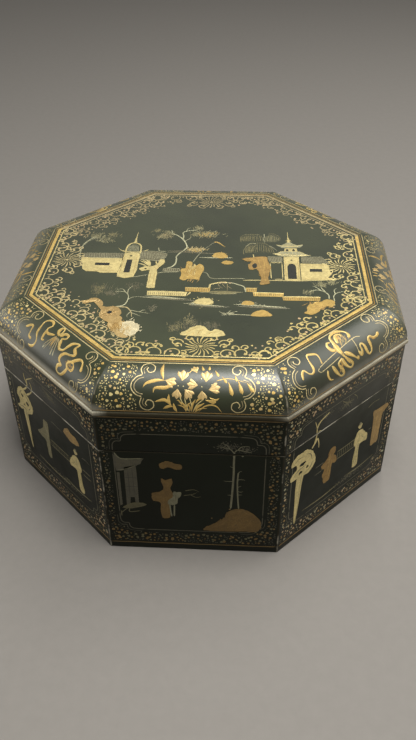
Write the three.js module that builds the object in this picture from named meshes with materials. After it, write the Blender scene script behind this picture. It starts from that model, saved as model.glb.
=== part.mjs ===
// An octagonal lacquered wooden tea box with a lift-off lid, and the two pewter tea canisters inside it.
// Millimetres, +Z up. The origin is the middle of the underside, and -Y is the front.
//
// The box is joined from thin boards: eight walls mitred round a base board, and a lining glued inside
// them that stands above the seam as the lip on which the lid is centred. The lid has eight walls in the
// same plane as the box's, eight lengths of cushion moulding on top of them, and a flat top board let in
// between the mouldings. A partition keeps the two canisters apart. Each canister is soldered from
// pewter sheet and is closed twice, by a stopper in its neck and by a cap over it.

import * as THREE from 'three';

// The box
const BOX_ACROSS_FLATS = 240;
const BODY_HEIGHT = 80;
const WALL_THICKNESS = 9;
const BASE_THICKNESS = 7;
const LINING_THICKNESS = 3;
const LIP_HEIGHT = 6;
const PARTITION_THICKNESS = 4;
const PARTITION_BELOW_SEAM = 8;

// The lid
const LID_WALL_HEIGHT = 25;
const CUSHION_WIDTH = 20;
const CUSHION_HEIGHT = 18.4;
const BEAD_HEIGHT = 2.6;
const BEAD_OVERHANG = 1.2;
const BEAD_QUIRK = 0.9;
const TOP_BOARD_THICKNESS = 8;

// The canisters
const PEWTER_THICKNESS = 1.4;
const CANISTER_BELOW_SEAM = 4;
const NECK_BORE = 58;
const NECK_HEIGHT = 10;
const PLUG_DEPTH = 5;
const STOPPER_FLANGE = 1.6;
const KNOB_RADIUS = 5;
const KNOB_HEIGHT = 8;
const CAP_HEADROOM = 2.4;
const CAP_DOME_RISE = 1.8;

// Gaps between the pieces
const GLUE_LINE = 0.3;
const SEAM_GAP = 0.4;
const LIP_CLEARANCE = 0.6;
const CANISTER_CLEARANCE = 1.2;
const STOPPER_CLEARANCE = 0.5;
const CAP_CLEARANCE = 0.5;

// How finely curves are faceted
const CUSHION_STEPS = 10;
const ROUND_SEGMENTS = 40;
const KNOB_SEGMENTS = 20;
const DOME_STEPS = 4;

const SIDES = 8;
const HALF_CORNER = Math.PI / SIDES;
const SIDE_NAMES = ['front', 'front_right', 'right', 'back_right', 'back', 'back_left', 'left', 'front_left'];

// Apothems, from the middle of the box out to each ring of boards
const wallOuter = BOX_ACROSS_FLATS / 2;
const wallInner = wallOuter - WALL_THICKNESS;
const liningOuter = wallInner - GLUE_LINE;
const liningInner = liningOuter - LINING_THICKNESS;
const lidWallInner = liningOuter + LIP_CLEARANCE;
const beadOuter = wallOuter + BEAD_OVERHANG;
const cushionOuter = beadOuter - BEAD_QUIRK;
const cushionInner = cushionOuter - CUSHION_WIDTH;
const topBoardApothem = cushionInner - GLUE_LINE;
const canisterApothem = liningInner - CANISTER_CLEARANCE;

// Heights
const insideFloor = BASE_THICKNESS + GLUE_LINE;
const lidBottom = BODY_HEIGHT + SEAM_GAP;
const mouldingBottom = lidBottom + LID_WALL_HEIGHT + GLUE_LINE;
const beadTop = mouldingBottom + BEAD_HEIGHT;
const lidTop = beadTop + CUSHION_HEIGHT;
const canisterTop = BODY_HEIGHT - CANISTER_BELOW_SEAM;

// The canister's flat side stands beside the partition
const canisterFlatX = PARTITION_THICKNESS / 2 + CANISTER_CLEARANCE;
const neckX = (canisterFlatX + canisterApothem) / 2;
const neckInner = NECK_BORE / 2;
const neckOuter = neckInner + PEWTER_THICKNESS;

const blackLacquer = new THREE.MeshStandardMaterial({ color: 0x23261f, roughness: 0.3, metalness: 0 });
const insideLacquer = new THREE.MeshStandardMaterial({ color: 0x1c1a17, roughness: 0.45, metalness: 0 });
const pewter = new THREE.MeshStandardMaterial({ color: 0x8f908c, roughness: 0.42, metalness: 0.9 });
const bone = new THREE.MeshStandardMaterial({ color: 0xd9cdb0, roughness: 0.4, metalness: 0 });

const box = new THREE.Group();

function addMesh(name, geometry, material, parent) {
  const mesh = new THREE.Mesh(geometry, material);
  mesh.name = name;
  parent.add(mesh);
  return mesh;
}

function shapeOf(points) {
  return new THREE.Shape(points.map(([x, y]) => new THREE.Vector2(x, y)));
}

// Where the side of a ring at this apothem ends, half a glue line short of the mitre.
function halfLength(apothem) {
  return apothem * Math.tan(HALF_CORNER) - GLUE_LINE / 2 / Math.cos(HALF_CORNER);
}

// One side of an octagonal ring, lying along X at the front. The profile is a list of [apothem, z], and
// both ends are mitred: the profile is extruded by one unit, then each point moves out to its own mitre.
function mitredSide(profile) {
  const geometry = new THREE.ExtrudeGeometry(shapeOf(profile), { depth: 1, bevelEnabled: false });
  const position = geometry.getAttribute('position');
  for (let i = 0; i < position.count; i += 1) {
    const apothem = position.getX(i);
    const height = position.getY(i);
    const end = position.getZ(i) > 0.5 ? -1 : 1;
    position.setXYZ(i, end * halfLength(apothem), -apothem, height);
  }
  geometry.computeVertexNormals();
  return geometry;
}

// Eight mitred sides in a ring, one node each.
function addRing(prefix, profile, material) {
  const geometry = mitredSide(profile);
  SIDE_NAMES.forEach((side, i) => {
    const mesh = addMesh(`${prefix}_${side}`, geometry, material, box);
    mesh.rotation.z = i * 2 * HALF_CORNER;
  });
}

function boardProfile(inner, outer, bottom, top) {
  return [[inner, bottom], [outer, bottom], [outer, top], [inner, top]];
}

// Corners of a regular octagon with its flats square to X and Y.
function octagon(apothem) {
  const half = apothem * Math.tan(HALF_CORNER);
  return [
    [half, -apothem], [apothem, -half], [apothem, half], [half, apothem],
    [-half, apothem], [-apothem, half], [-apothem, -half], [-half, -apothem],
  ];
}

function plate(points, bottom, top, hole) {
  const shape = shapeOf(points);
  if (hole) shape.holes.push(hole);
  const geometry = new THREE.ExtrudeGeometry(shape, {
    depth: top - bottom, bevelEnabled: false, curveSegments: ROUND_SEGMENTS,
  });
  return geometry.translate(0, 0, bottom);
}

// A turned piece, from a profile of [radius, z] that runs up the outside.
function turned(profile, segments) {
  const points = profile.map(([radius, z]) => new THREE.Vector2(radius, z));
  return new THREE.LatheGeometry(points, segments).rotateX(Math.PI / 2);
}

// The cushion moulding: a small bead along the foot, a quirk, and a quarter ellipse up to the top board.
function cushionProfile() {
  const points = [[cushionInner, mouldingBottom], [beadOuter, mouldingBottom], [beadOuter, beadTop]];
  for (let i = 0; i <= CUSHION_STEPS; i += 1) {
    const angle = (i / CUSHION_STEPS) * (Math.PI / 2);
    const apothem = cushionInner + CUSHION_WIDTH * Math.cos(angle);
    points.push([apothem, beadTop + CUSHION_HEIGHT * Math.sin(angle)]);
  }
  return points;
}

function addBoxBody() {
  addMesh('base_board', plate(octagon(wallInner - GLUE_LINE), 0, BASE_THICKNESS), blackLacquer, box);
  addRing('body_wall', boardProfile(wallInner, wallOuter, 0, BODY_HEIGHT), blackLacquer);
  const lipTop = BODY_HEIGHT + LIP_HEIGHT;
  addRing('lining', boardProfile(liningInner, liningOuter, insideFloor, lipTop), insideLacquer);
  const partition = new THREE.BoxGeometry(
    PARTITION_THICKNESS,
    2 * (liningInner - GLUE_LINE),
    BODY_HEIGHT - PARTITION_BELOW_SEAM - insideFloor,
  );
  partition.translate(0, 0, (BODY_HEIGHT - PARTITION_BELOW_SEAM + insideFloor) / 2);
  addMesh('partition_board', partition, insideLacquer, box);
}

function addLid() {
  const wallTop = lidBottom + LID_WALL_HEIGHT;
  addRing('lid_wall', boardProfile(lidWallInner, wallOuter, lidBottom, wallTop), blackLacquer);
  addRing('lid_moulding', cushionProfile(), blackLacquer);
  const board = plate(octagon(topBoardApothem), lidTop - TOP_BOARD_THICKNESS, lidTop);
  addMesh('lid_top_board', board, blackLacquer, box);
}

// Half of an octagon on the +X side, cut off along the partition, drawn in all round by the inset.
function canisterOutline(inset) {
  const apothem = canisterApothem - inset;
  const half = apothem * Math.tan(HALF_CORNER);
  const flat = canisterFlatX + inset;
  return [[flat, -apothem], [half, -apothem], [apothem, -half], [apothem, half], [half, apothem], [flat, apothem]];
}

function pathOf(points) {
  return new THREE.Path(points.map(([x, y]) => new THREE.Vector2(x, y)));
}

// A flat plug that fills the neck's bore, under a flange that rests on the neck's rim.
function stopperProfile(rim) {
  const plugRadius = neckInner - STOPPER_CLEARANCE;
  const seat = rim + GLUE_LINE;
  return [
    [0, seat - PLUG_DEPTH], [plugRadius, seat - PLUG_DEPTH], [plugRadius, seat],
    [neckOuter, seat], [neckOuter, seat + STOPPER_FLANGE], [0, seat + STOPPER_FLANGE],
  ];
}

// A turned knob with a narrow waist.
function knobProfile(foot) {
  const waist = KNOB_RADIUS * 0.5;
  return [
    [0, foot], [KNOB_RADIUS * 0.8, foot], [KNOB_RADIUS * 0.8, foot + KNOB_HEIGHT * 0.12],
    [waist, foot + KNOB_HEIGHT * 0.3], [waist, foot + KNOB_HEIGHT * 0.42],
    [KNOB_RADIUS * 0.9, foot + KNOB_HEIGHT * 0.6], [KNOB_RADIUS, foot + KNOB_HEIGHT * 0.75],
    [KNOB_RADIUS * 0.8, foot + KNOB_HEIGHT * 0.92], [0, foot + KNOB_HEIGHT],
  ];
}

// The dome's curve from the rim of the cap in to the axis, as [radius, z].
function domeCurve(radius, springing) {
  const points = [];
  for (let i = 0; i <= DOME_STEPS; i += 1) {
    const angle = (i / DOME_STEPS) * (Math.PI / 2);
    points.push([radius * Math.cos(angle), springing + CAP_DOME_RISE * Math.sin(angle)]);
  }
  return points;
}

// A cap that slides down over the neck: a straight skirt under a low dome, open below.
function capProfile(skirtFoot, springing) {
  const inner = neckOuter + CAP_CLEARANCE;
  const inside = domeCurve(inner, springing).reverse();
  const outside = domeCurve(inner + PEWTER_THICKNESS, springing + PEWTER_THICKNESS);
  return [...inside, [inner, skirtFoot], [inner + PEWTER_THICKNESS, skirtFoot], ...outside];
}

// A canister on the +X side. The other one is the same, turned by half a turn.
function addCanister(prefix, turn) {
  const group = new THREE.Group();
  group.rotation.z = turn;
  box.add(group);

  const bottom = insideFloor + GLUE_LINE;
  const wallBottom = bottom + PEWTER_THICKNESS + GLUE_LINE;
  const topUnderside = canisterTop - PEWTER_THICKNESS;
  const wallShape = shapeOf(canisterOutline(0));
  wallShape.holes.push(pathOf(canisterOutline(PEWTER_THICKNESS)));
  const wall = new THREE.ExtrudeGeometry(wallShape, {
    depth: topUnderside - GLUE_LINE - wallBottom, bevelEnabled: false,
  });
  const bore = new THREE.Path().absarc(neckX, 0, neckInner, 0, 2 * Math.PI, true);
  addMesh(`${prefix}_base`, plate(canisterOutline(0), bottom, bottom + PEWTER_THICKNESS), pewter, group);
  addMesh(`${prefix}_wall`, wall.translate(0, 0, wallBottom), pewter, group);
  addMesh(`${prefix}_top`, plate(canisterOutline(0), topUnderside, canisterTop, bore), pewter, group);

  const closure = new THREE.Group();
  closure.position.x = neckX;
  group.add(closure);
  const neckFoot = canisterTop + GLUE_LINE;
  const rim = neckFoot + NECK_HEIGHT;
  const neck = [[neckInner, neckFoot], [neckOuter, neckFoot], [neckOuter, rim], [neckInner, rim], [neckInner, neckFoot]];
  addMesh(`${prefix}_neck`, turned(neck, ROUND_SEGMENTS), pewter, closure);

  const stopperTop = rim + GLUE_LINE + STOPPER_FLANGE;
  const knobFoot = stopperTop + GLUE_LINE;
  addMesh(`${prefix}_stopper`, turned(stopperProfile(rim), ROUND_SEGMENTS), pewter, closure);
  addMesh(`${prefix}_stopper_knob`, turned(knobProfile(knobFoot), KNOB_SEGMENTS), bone, closure);

  const springing = knobFoot + KNOB_HEIGHT + CAP_HEADROOM;
  const cap = capProfile(neckFoot + SEAM_GAP, springing);
  addMesh(`${prefix}_cap`, turned(cap, ROUND_SEGMENTS), pewter, closure);
}

addBoxBody();
addLid();
addCanister('right_canister', 0);
addCanister('left_canister', Math.PI);

export default box;
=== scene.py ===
# %% [markdown]
# # A gold-painted lacquer tea box
#
# The box is an octagon of thin boards under black lacquer, with a garden scene, scrolling vines and
# sprinkled gold dots painted on it. The CAD model gives every board its size and place. It is loaded
# first as a fixed frame, because every finish and every brush stroke below is laid on its surfaces.

# %% Load the frame
import math

import bpy
import numpy as np
from mathutils import Matrix, Vector
from mathutils.geometry import delaunay_2d_cdt


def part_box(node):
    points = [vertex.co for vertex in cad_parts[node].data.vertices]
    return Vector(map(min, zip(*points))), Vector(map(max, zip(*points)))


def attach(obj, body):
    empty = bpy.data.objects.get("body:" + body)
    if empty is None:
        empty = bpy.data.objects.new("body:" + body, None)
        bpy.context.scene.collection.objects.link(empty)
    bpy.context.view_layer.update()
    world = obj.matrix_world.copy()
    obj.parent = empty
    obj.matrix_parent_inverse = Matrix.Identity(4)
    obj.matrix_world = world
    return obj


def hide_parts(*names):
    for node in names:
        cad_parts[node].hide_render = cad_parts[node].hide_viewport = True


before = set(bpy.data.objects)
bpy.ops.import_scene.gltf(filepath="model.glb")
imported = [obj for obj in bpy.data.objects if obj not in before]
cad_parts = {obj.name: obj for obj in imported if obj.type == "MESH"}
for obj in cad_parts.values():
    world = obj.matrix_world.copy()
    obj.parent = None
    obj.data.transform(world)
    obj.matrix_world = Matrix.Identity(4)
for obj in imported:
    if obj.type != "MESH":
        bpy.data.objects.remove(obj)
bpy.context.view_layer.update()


def corners(box):
    """A box's two corners as plain lists of numbers."""
    return [[float(number) for number in corner] for corner in box]


# %% [markdown]
# ## The camera
#
# A camera can be aimed by eye, or worked out from the picture. Here it was worked out: the eight corners
# of the box fix where the photographer stood. The result is a place and the camera's own three
# directions, and the lens follows from the focal length counted in pixels.

# %% Camera
IMAGE_HEIGHT = 740
FOCAL_PIXELS = 743.7
SENSOR_HEIGHT = 36.0
CAMERA_PLACE = (0.02633, -0.40306, 0.35942)
CAMERA_RIGHT = (0.99853, 0.05373, -0.00698)
CAMERA_UP = (-0.02768, 0.61669, 0.78672)
CAMERA_BACK = (0.04657, -0.78537, 0.61727)

lens = bpy.data.cameras.new("camera")
lens.sensor_fit = "VERTICAL"
lens.sensor_height = SENSOR_HEIGHT
lens.lens = SENSOR_HEIGHT * FOCAL_PIXELS / IMAGE_HEIGHT
lens.clip_start = 0.01
camera = bpy.data.objects.new("camera", lens)
bpy.context.scene.collection.objects.link(camera)
columns = np.array([CAMERA_RIGHT, CAMERA_UP, CAMERA_BACK, CAMERA_PLACE]).T
camera.matrix_world = Matrix(np.vstack([columns, [0, 0, 0, 1]]).tolist())
bpy.context.scene.camera = camera
print("lens in millimetres:", round(lens.lens, 2))

# %% [markdown]
# ## Sizes from the frame
#
# The boards' outer faces are the paper that the painter works on, so their places are read from the CAD
# nodes. Only what a node's box can't tell, such as the bead under the cushion, is written again here.

# %% Sizes
MM = 0.001
SIDES = 8
HALF_CORNER = math.pi / SIDES
CORNER_SLOPE = math.tan(HALF_CORNER)
SIDE_NAMES = ["front", "front_right", "right", "back_right", "back", "back_left", "left", "front_left"]


def board_box(node):
    """The inner and outer apothem of a front board, and its bottom and top."""
    low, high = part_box(node)
    return -high.y, -low.y, low.z, high.z


WALL_INSIDE, WALL_APOTHEM, _, SEAM = board_box("body_wall_front")
LID_WALL_INSIDE, _, LID_BOTTOM, LID_WALL_TOP = board_box("lid_wall_front")
PLATEAU_EDGE, BEAD_APOTHEM, MOULDING_BOTTOM, _ = board_box("lid_moulding_front")
TOP_UNDERSIDE, TOP = (corner.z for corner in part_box("lid_top_board"))

BEAD_HEIGHT = 2.6 * MM
CUSHION_WIDTH = 20.0 * MM
CUSHION_FOOT = MOULDING_BOTTOM + BEAD_HEIGHT
CUSHION_RISE = TOP - CUSHION_FOOT
CUSHION_OUTER = PLATEAU_EDGE + CUSHION_WIDTH
print("plateau apothem and lid height in millimetres:", PLATEAU_EDGE / MM, TOP / MM)

# %% [markdown]
# ## Meshes from arrays
#
# Every surface here is a grid: rows and columns of points worked out at once with numpy, with a quad
# between each four neighbours. One helper gives the quads, and one turns arrays into a Blender object. A
# skin is a grid over closed rings, with its ends shut or joined. A piece that stands for a CAD node moves
# with that node's body and replaces it.


# %% Grid quads and new pieces
def grid_quads(rows, columns, closed=False):
    """Four corner numbers for each cell of a grid; a closed grid joins its last column to its first."""
    cells = columns if closed else columns - 1
    row, column = np.meshgrid(np.arange(rows - 1), np.arange(cells), indexing="ij")
    across = (column + 1) % columns
    quads = [row * columns + column, row * columns + across]
    quads += [(row + 1) * columns + across, (row + 1) * columns + column]
    return np.stack(quads, -1).reshape(-1, 4)


def new_piece(name, points, quads=(), triangles=(), material=None, smooth=True):
    """A mesh object in metres from arrays of points and faces; smooth may be one value for each face."""
    quads = np.asarray(quads, int).reshape(-1, 4)
    triangles = np.asarray(triangles, int).reshape(-1, 3)
    corner_numbers = np.concatenate([quads.ravel(), triangles.ravel()])
    starts = np.concatenate([np.arange(len(quads)) * 4, len(quads) * 4 + np.arange(len(triangles)) * 3])
    mesh = bpy.data.meshes.new(name)
    mesh.vertices.add(len(points))
    mesh.vertices.foreach_set("co", np.asarray(points, np.float32).ravel())
    mesh.loops.add(len(corner_numbers))
    mesh.loops.foreach_set("vertex_index", corner_numbers.astype(np.int32))
    mesh.polygons.add(len(starts))
    mesh.polygons.foreach_set("loop_start", starts.astype(np.int32))
    mesh.polygons.foreach_set("use_smooth", np.array(np.broadcast_to(smooth, len(starts))))
    mesh.update(calc_edges=True)
    piece = bpy.data.objects.new(name, mesh)
    bpy.context.scene.collection.objects.link(piece)
    if material:
        mesh.materials.append(material)
    return piece


def skin(name, rings, material, sharp=None, ends="flat"):
    """A surface over closed rings of points. Its ends are flat or smooth fans, or "joined" to each other."""
    rows, columns = rings.shape[:2]
    points = rings.reshape(-1, 3)
    if ends == "joined":
        quads = grid_quads(rows + 1, columns, closed=True) % len(points)
        piece = new_piece(name, points, quads, material=material)
    else:
        quads = grid_quads(rows, columns, closed=True)
        ring = np.arange(columns)
        after = np.roll(ring, -1)
        last = len(points) - columns
        middle = np.full(columns, len(points))
        fans = [np.stack([middle, after, ring], -1), np.stack([middle + 1, last + ring, last + after], -1)]
        smooth = np.arange(len(quads) + 2 * columns) < len(quads) if ends == "flat" else True
        points = np.vstack([points, rings[0].mean(0), rings[-1].mean(0)])
        piece = new_piece(name, points, quads, np.vstack(fans), material, smooth if sharp else False)
    if sharp:
        piece.data.set_sharp_from_angle(angle=math.radians(sharp))
    return piece


def stand_for(piece, body, node):
    """A piece rides on a body and takes the place of a CAD node."""
    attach(piece, body)
    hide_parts(node)


# %% [markdown]
# ## Two masks that several finishes share
#
# Old lacquer is never one colour: it drifts over a few centimetres, it is rubbed on the corners, and fine
# scratches catch the light. A node group keeps each effect in one place. The first group turns a place on
# the box into distances on the octagon, so that wear can follow the corners exactly however coarse the
# mesh is. The angle round the box is folded into one half side, and the sine and cosine give the rest.


# %% Node helpers
class Graph:
    """Short calls for adding nodes to a material or a group and joining them."""

    def __init__(self, tree):
        self.tree = tree

    def node(self, kind, values=None, **options):
        made = self.tree.nodes.new(kind)
        for option, value in options.items():
            setattr(made, option, value)
        for socket, value in (values or {}).items():
            self.feed(made.inputs[socket], value)
        return made

    def feed(self, socket, value):
        if isinstance(value, bpy.types.NodeSocket):
            self.tree.links.new(value, socket)
        else:
            socket.default_value = value

    def math(self, operation, first, second=0.0):
        return self.node("ShaderNodeMath", {0: first, 1: second}, operation=operation).outputs[0]

    def times(self, first, *others):
        for other in others:
            first = self.math("MULTIPLY", first, other)
        return first

    def most(self, first, second):
        return self.math("MAXIMUM", first, second)

    def less(self, first, second):
        return self.math("SUBTRACT", first, second)

    def ramp(self, value, low, high, to_low=0.0, to_high=1.0):
        """The value carried from one range to another and kept inside it."""
        values = {"Value": value, "From Min": low, "From Max": high, "To Min": to_low, "To Max": to_high}
        return self.node("ShaderNodeMapRange", values).outputs["Result"]

    def mix(self, share, first, second):
        """Two colours blended. The Mix node has sockets for each data type; the colour's come last."""
        made = self.node("ShaderNodeMix", {0: share, 6: first, 7: second}, data_type="RGBA")
        return made.outputs[2]

    def noise(self, place, scale, detail=4.0, roughness=0.55):
        values = {"Vector": place, "Scale": scale, "Detail": detail, "Roughness": roughness}
        return self.node("ShaderNodeTexNoise", values).outputs["Fac"]

    def bump(self, height, strength, distance):
        values = {"Strength": strength, "Distance": distance, "Height": height}
        return self.node("ShaderNodeBump", values).outputs["Normal"]

    def group(self, group, place):
        """The outputs of a group for a place."""
        return self.node("ShaderNodeGroup", {"Place": place}, node_tree=group.tree).outputs


def new_group(name, *outputs):
    """A shader group that turns a place into numbers: its graph, the place and the outputs' sockets."""
    tree = bpy.data.node_groups.new(name, "ShaderNodeTree")
    tree.interface.new_socket(name="Place", in_out="INPUT", socket_type="NodeSocketVector")
    for output in outputs:
        tree.interface.new_socket(name=output, in_out="OUTPUT", socket_type="NodeSocketFloat")
    graph = Graph(tree)
    return graph, graph.node("NodeGroupInput").outputs["Place"], graph.node("NodeGroupOutput").inputs


# %% Octagon distances
octagon, place, results = new_group("octagon_distances", "Apothem", "To Corner", "Height")
split = octagon.node("ShaderNodeSeparateXYZ", {"Vector": place}).outputs
around = octagon.math("ARCTAN2", split["Y"], split["X"])
folded = octagon.math("PINGPONG", around, HALF_CORNER)
squares = [octagon.math("POWER", split[axis], 2.0) for axis in "XY"]
radius = octagon.math("SQRT", octagon.math("ADD", *squares))
apothem = octagon.times(radius, octagon.math("COSINE", folded))
along = octagon.times(radius, octagon.math("SINE", folded))
octagon.feed(results["Apothem"], apothem)
octagon.feed(results["To Corner"], octagon.less(octagon.times(apothem, CORNER_SLOPE), along))
octagon.feed(results["Height"], split["Z"])

# %% [markdown]
# ## Black lacquer
#
# The ground is many thin coats of dark varnish over wood. It could be one black colour with a gloss, but
# the eye knows lacquer by its faults: a greenish haze, brown where the arrises are rubbed, pale lines at
# the sharpest corners, hair scratches and a very slight waviness. Light and shade are painted in as well:
# painted shade on the walls and the foot of the cushion, a pale painted sheen towards the left and right
# sides, and painted highlights on the bead and the seam at the sides, strongest on the left. The shared
# group gives these masks from the octagon's own distances, and the material adds the colours and the two
# layers of gloss.

# %% Wear mask, painted highlights and painted shade
ARRIS_WEAR = 0.9
BEAD_REACH = 1.6
SEAM_REACH = 0.45
FOOT_HIGHLIGHT_REACH = 5.0

wear_and_light, place, results = new_group("wear_and_painted_light", "Wear And Highlight", "Rubbed", "Gilt Highlight", "Side Sheen", "Lower Shade", "Foot Highlight")
patchy = wear_and_light.noise(place, 90.0, 5.0, 0.62)
broad = wear_and_light.noise(place, 22.0, 3.0, 0.5)


def span(value, low, high, to_low=0.0, to_high=1.0):
    """A ramp whose range is in millimetres."""
    return wear_and_light.ramp(value, low * MM, high * MM, to_low, to_high)


def near(value, place, reach):
    """1 where a height or distance is at a place in metres, falling to 0 at the reach in millimetres."""
    return span(wear_and_light.math("ABSOLUTE", wear_and_light.less(value, place)), 0.0, reach, 1.0, 0.0)


def left_light_share(right_share):
    """1 on the left half of the box, falling to a share on the right half: painted light is stronger on the
    left.
    """
    return span(across, -10.0, 10.0, 1.0, right_share)


distances = wear_and_light.group(octagon, place)
height = distances["Height"]
across = wear_and_light.node("ShaderNodeSeparateXYZ", {"Vector": place}).outputs["X"]
sideways = wear_and_light.math("ABSOLUTE", across)
# Painted highlights lie on the sides of the box, not on the middle of the front and back.
highlight_sides = span(sideways, 42.0, 56.0)
off_the_top = span(distances["Apothem"], PLATEAU_EDGE / MM + 4.0, PLATEAU_EDGE / MM + 12.0)
bead_line = near(height, MOULDING_BOTTOM + BEAD_HEIGHT * 0.5, BEAD_REACH)
seam_line = near(height, SEAM - SEAM_REACH / 3 * MM, SEAM_REACH)
lines = wear_and_light.times(near(distances["To Corner"], 0.0, ARRIS_WEAR), off_the_top)
lines = wear_and_light.most(lines, near(height, 0.0, ARRIS_WEAR))

arris_worn = wear_and_light.times(lines, wear_and_light.ramp(patchy, 0.46, 0.66, 0.0, 0.6))
# On the bead and the seam at the sides the pale colour is a painted highlight, broken like wear; at the
# corners it is real wear.
bead_highlight = wear_and_light.times(wear_and_light.ramp(bead_line, 0.0, 0.4), highlight_sides, left_light_share(0.45))
bead_highlight = wear_and_light.times(bead_highlight, wear_and_light.ramp(patchy, 0.3, 0.6, 0.5, 0.75))
seam_highlight = wear_and_light.times(seam_line, highlight_sides, wear_and_light.ramp(patchy, 0.4, 0.6, 0.35, 1.0), left_light_share(0.6))
worn_and_lit = wear_and_light.most(arris_worn, wear_and_light.most(bead_highlight, seam_highlight))
wear_and_light.feed(results["Wear And Highlight"], wear_and_light.ramp(worn_and_lit, 0.1, 0.9, 0.0, 0.85))

lines = wear_and_light.most(lines, wear_and_light.most(bead_line, seam_line))
rubbed = wear_and_light.times(lines, wear_and_light.ramp(broad, 0.3, 0.7, 0.55, 1.0))
wear_and_light.feed(results["Rubbed"], wear_and_light.most(rubbed, wear_and_light.ramp(bead_line, 0.05, 0.3)))
# Gilt on the bead, kept to the sides and stronger on the left: gilding and a painted highlight.
gilt_highlight = wear_and_light.times(wear_and_light.ramp(bead_line, 0.1, 0.5), span(sideways, 46.0, 66.0), left_light_share(0.45))
wear_and_light.feed(results["Gilt Highlight"], wear_and_light.times(gilt_highlight, wear_and_light.ramp(patchy, 0.35, 0.6, 0.65, 1.0)))
# A pale painted sheen on the upper faces towards the left and right sides.
sheen_mask = wear_and_light.times(span(sideways, 52.0, 104.0), span(height, 52.0, 103.0), off_the_top)
wear_and_light.feed(results["Side Sheen"], wear_and_light.times(sheen_mask, wear_and_light.ramp(patchy, 0.3, 0.7, 0.6, 1.0)))
# A painted highlight along the foot of the cushion at the sides, strongest on the left.
foot = wear_and_light.times(wear_and_light.ramp(near(height, CUSHION_FOOT, FOOT_HIGHLIGHT_REACH), 0.0, 0.6), highlight_sides, left_light_share(0.25))
wear_and_light.feed(results["Foot Highlight"], wear_and_light.times(foot, wear_and_light.ramp(patchy, 0.3, 0.6, 0.6, 1.0)))
# Painted shade: full on the walls and the foot of the cushion, fading out 16 mm up.
wear_and_light.feed(results["Lower Shade"], wear_and_light.ramp(height, CUSHION_FOOT, CUSHION_FOOT + 16.0 * MM, 1.0, 0.0))

# %% Scratch group
scratches, place, results = new_group("hair_scratches", "Scratches")
marks = 0.0
for turn, stretch in ((0.5, 14.0), (2.1, 10.0)):
    values = {"Vector": place, "Rotation": (0.3, 0.2, turn), "Scale": (stretch, 900.0, 60.0)}
    turned = scratches.node("ShaderNodeMapping", values).outputs["Vector"]
    values = {"Vector": turned, "Scale": 1.0}
    hairs = scratches.node("ShaderNodeTexVoronoi", values, feature="DISTANCE_TO_EDGE").outputs["Distance"]
    gate = scratches.ramp(scratches.noise(place, 30.0 + 9.0 * turn, 2.0), 0.55, 0.7)
    marks = scratches.most(marks, scratches.times(scratches.ramp(hairs, 0.0, 0.03, 1.0, 0.0), gate))
scratches.feed(results["Scratches"], marks)


# %% Lacquer material
def start_material(name):
    """A new node material, its graph, its shader and the Object coordinates."""
    material = bpy.data.materials.new(name)
    material.use_nodes = True
    made = Graph(material.node_tree)
    shader = material.node_tree.nodes["Principled BSDF"].inputs
    place = made.node("ShaderNodeTexCoord").outputs["Object"]
    return material, made, shader, place


def colour(red, green, blue):
    return (red, green, blue, 1.0)


# The masks' colours: painted shade, a painted sheen, a painted highlight at the cushion's foot, and gilt that
# is partly painted highlight.
LOWER_SHADE_COLOUR = colour(0.010, 0.008, 0.004)
SHEEN_COLOUR = colour(0.45, 0.43, 0.33)
FOOT_HIGHLIGHT_COLOUR = colour(0.50, 0.475, 0.38)
GILT_HIGHLIGHT_COLOUR = colour(0.66, 0.58, 0.41)


def lacquer_material(name, deep, hazy, rubbed, bare_and_highlight, roughness, coat, gloss):
    """Dark varnish that drifts from deep to hazy, rubbed brown near the arrises and bare at the worst, with
    painted shade low down and painted highlights and sheen on the sides.
    """
    material, made, shader, place = start_material(name)
    worn_and_lit = made.group(wear_and_light, place)
    hairs = made.group(scratches, place)["Scratches"]
    tint = made.mix(made.ramp(made.noise(place, 14.0, 4.0), 0.35, 0.68), colour(*deep), colour(*hazy))
    # Painted shade darkens the lower faces; the sheen, the foot, the gilt and the bead and seam part of the
    # wear mask are painted highlights.
    for mask, share, paint in (
        ("Lower Shade", 0.6, LOWER_SHADE_COLOUR), ("Rubbed", 0.45, colour(*rubbed)), ("Wear And Highlight", 1.0, colour(*bare_and_highlight)),
        ("Side Sheen", 0.16, SHEEN_COLOUR), ("Foot Highlight", 0.9, FOOT_HIGHLIGHT_COLOUR), ("Gilt Highlight", 1.0, GILT_HIGHLIGHT_COLOUR),
    ):
        tint = made.mix(made.times(worn_and_lit[mask], share), tint, paint)
    made.feed(shader["Base Color"], made.mix(made.times(hairs, 0.16), tint, colour(*hazy)))
    made.feed(shader["Metallic"], made.times(worn_and_lit["Gilt Highlight"], 0.7))
    smudges = made.ramp(made.noise(place, 38.0, 6.0, 0.6), 0.3, 0.75, roughness * 0.75, roughness * 1.35)
    rubbed_and_highlit = made.most(worn_and_lit["Wear And Highlight"], worn_and_lit["Rubbed"])
    made.feed(shader["Roughness"], made.math("ADD", smudges, made.times(rubbed_and_highlit, 0.45)))
    thin = made.times(made.ramp(worn_and_lit["Lower Shade"], 0.0, 1.0, 1.0, 0.45), coat)
    varnish = made.most(thin, made.times(worn_and_lit["Side Sheen"], 0.5))
    made.feed(shader["Coat Weight"], made.times(varnish, made.ramp(rubbed_and_highlit, 0.0, 0.8, 1.0, 0.0)))
    shader["Coat Roughness"].default_value = 0.33
    shader["Specular IOR Level"].default_value = gloss
    waves = made.times(made.noise(place, 55.0, 3.0, 0.5), 0.6)
    relief = made.math("ADD", waves, made.times(made.noise(place, 900.0, 2.0, 0.6), 0.04))
    relief = made.less(relief, made.times(hairs, 0.05))
    relief = made.less(relief, made.times(worn_and_lit["Wear And Highlight"], 0.25))
    made.feed(shader["Normal"], made.bump(relief, 0.35, 0.0004))
    return material


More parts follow.
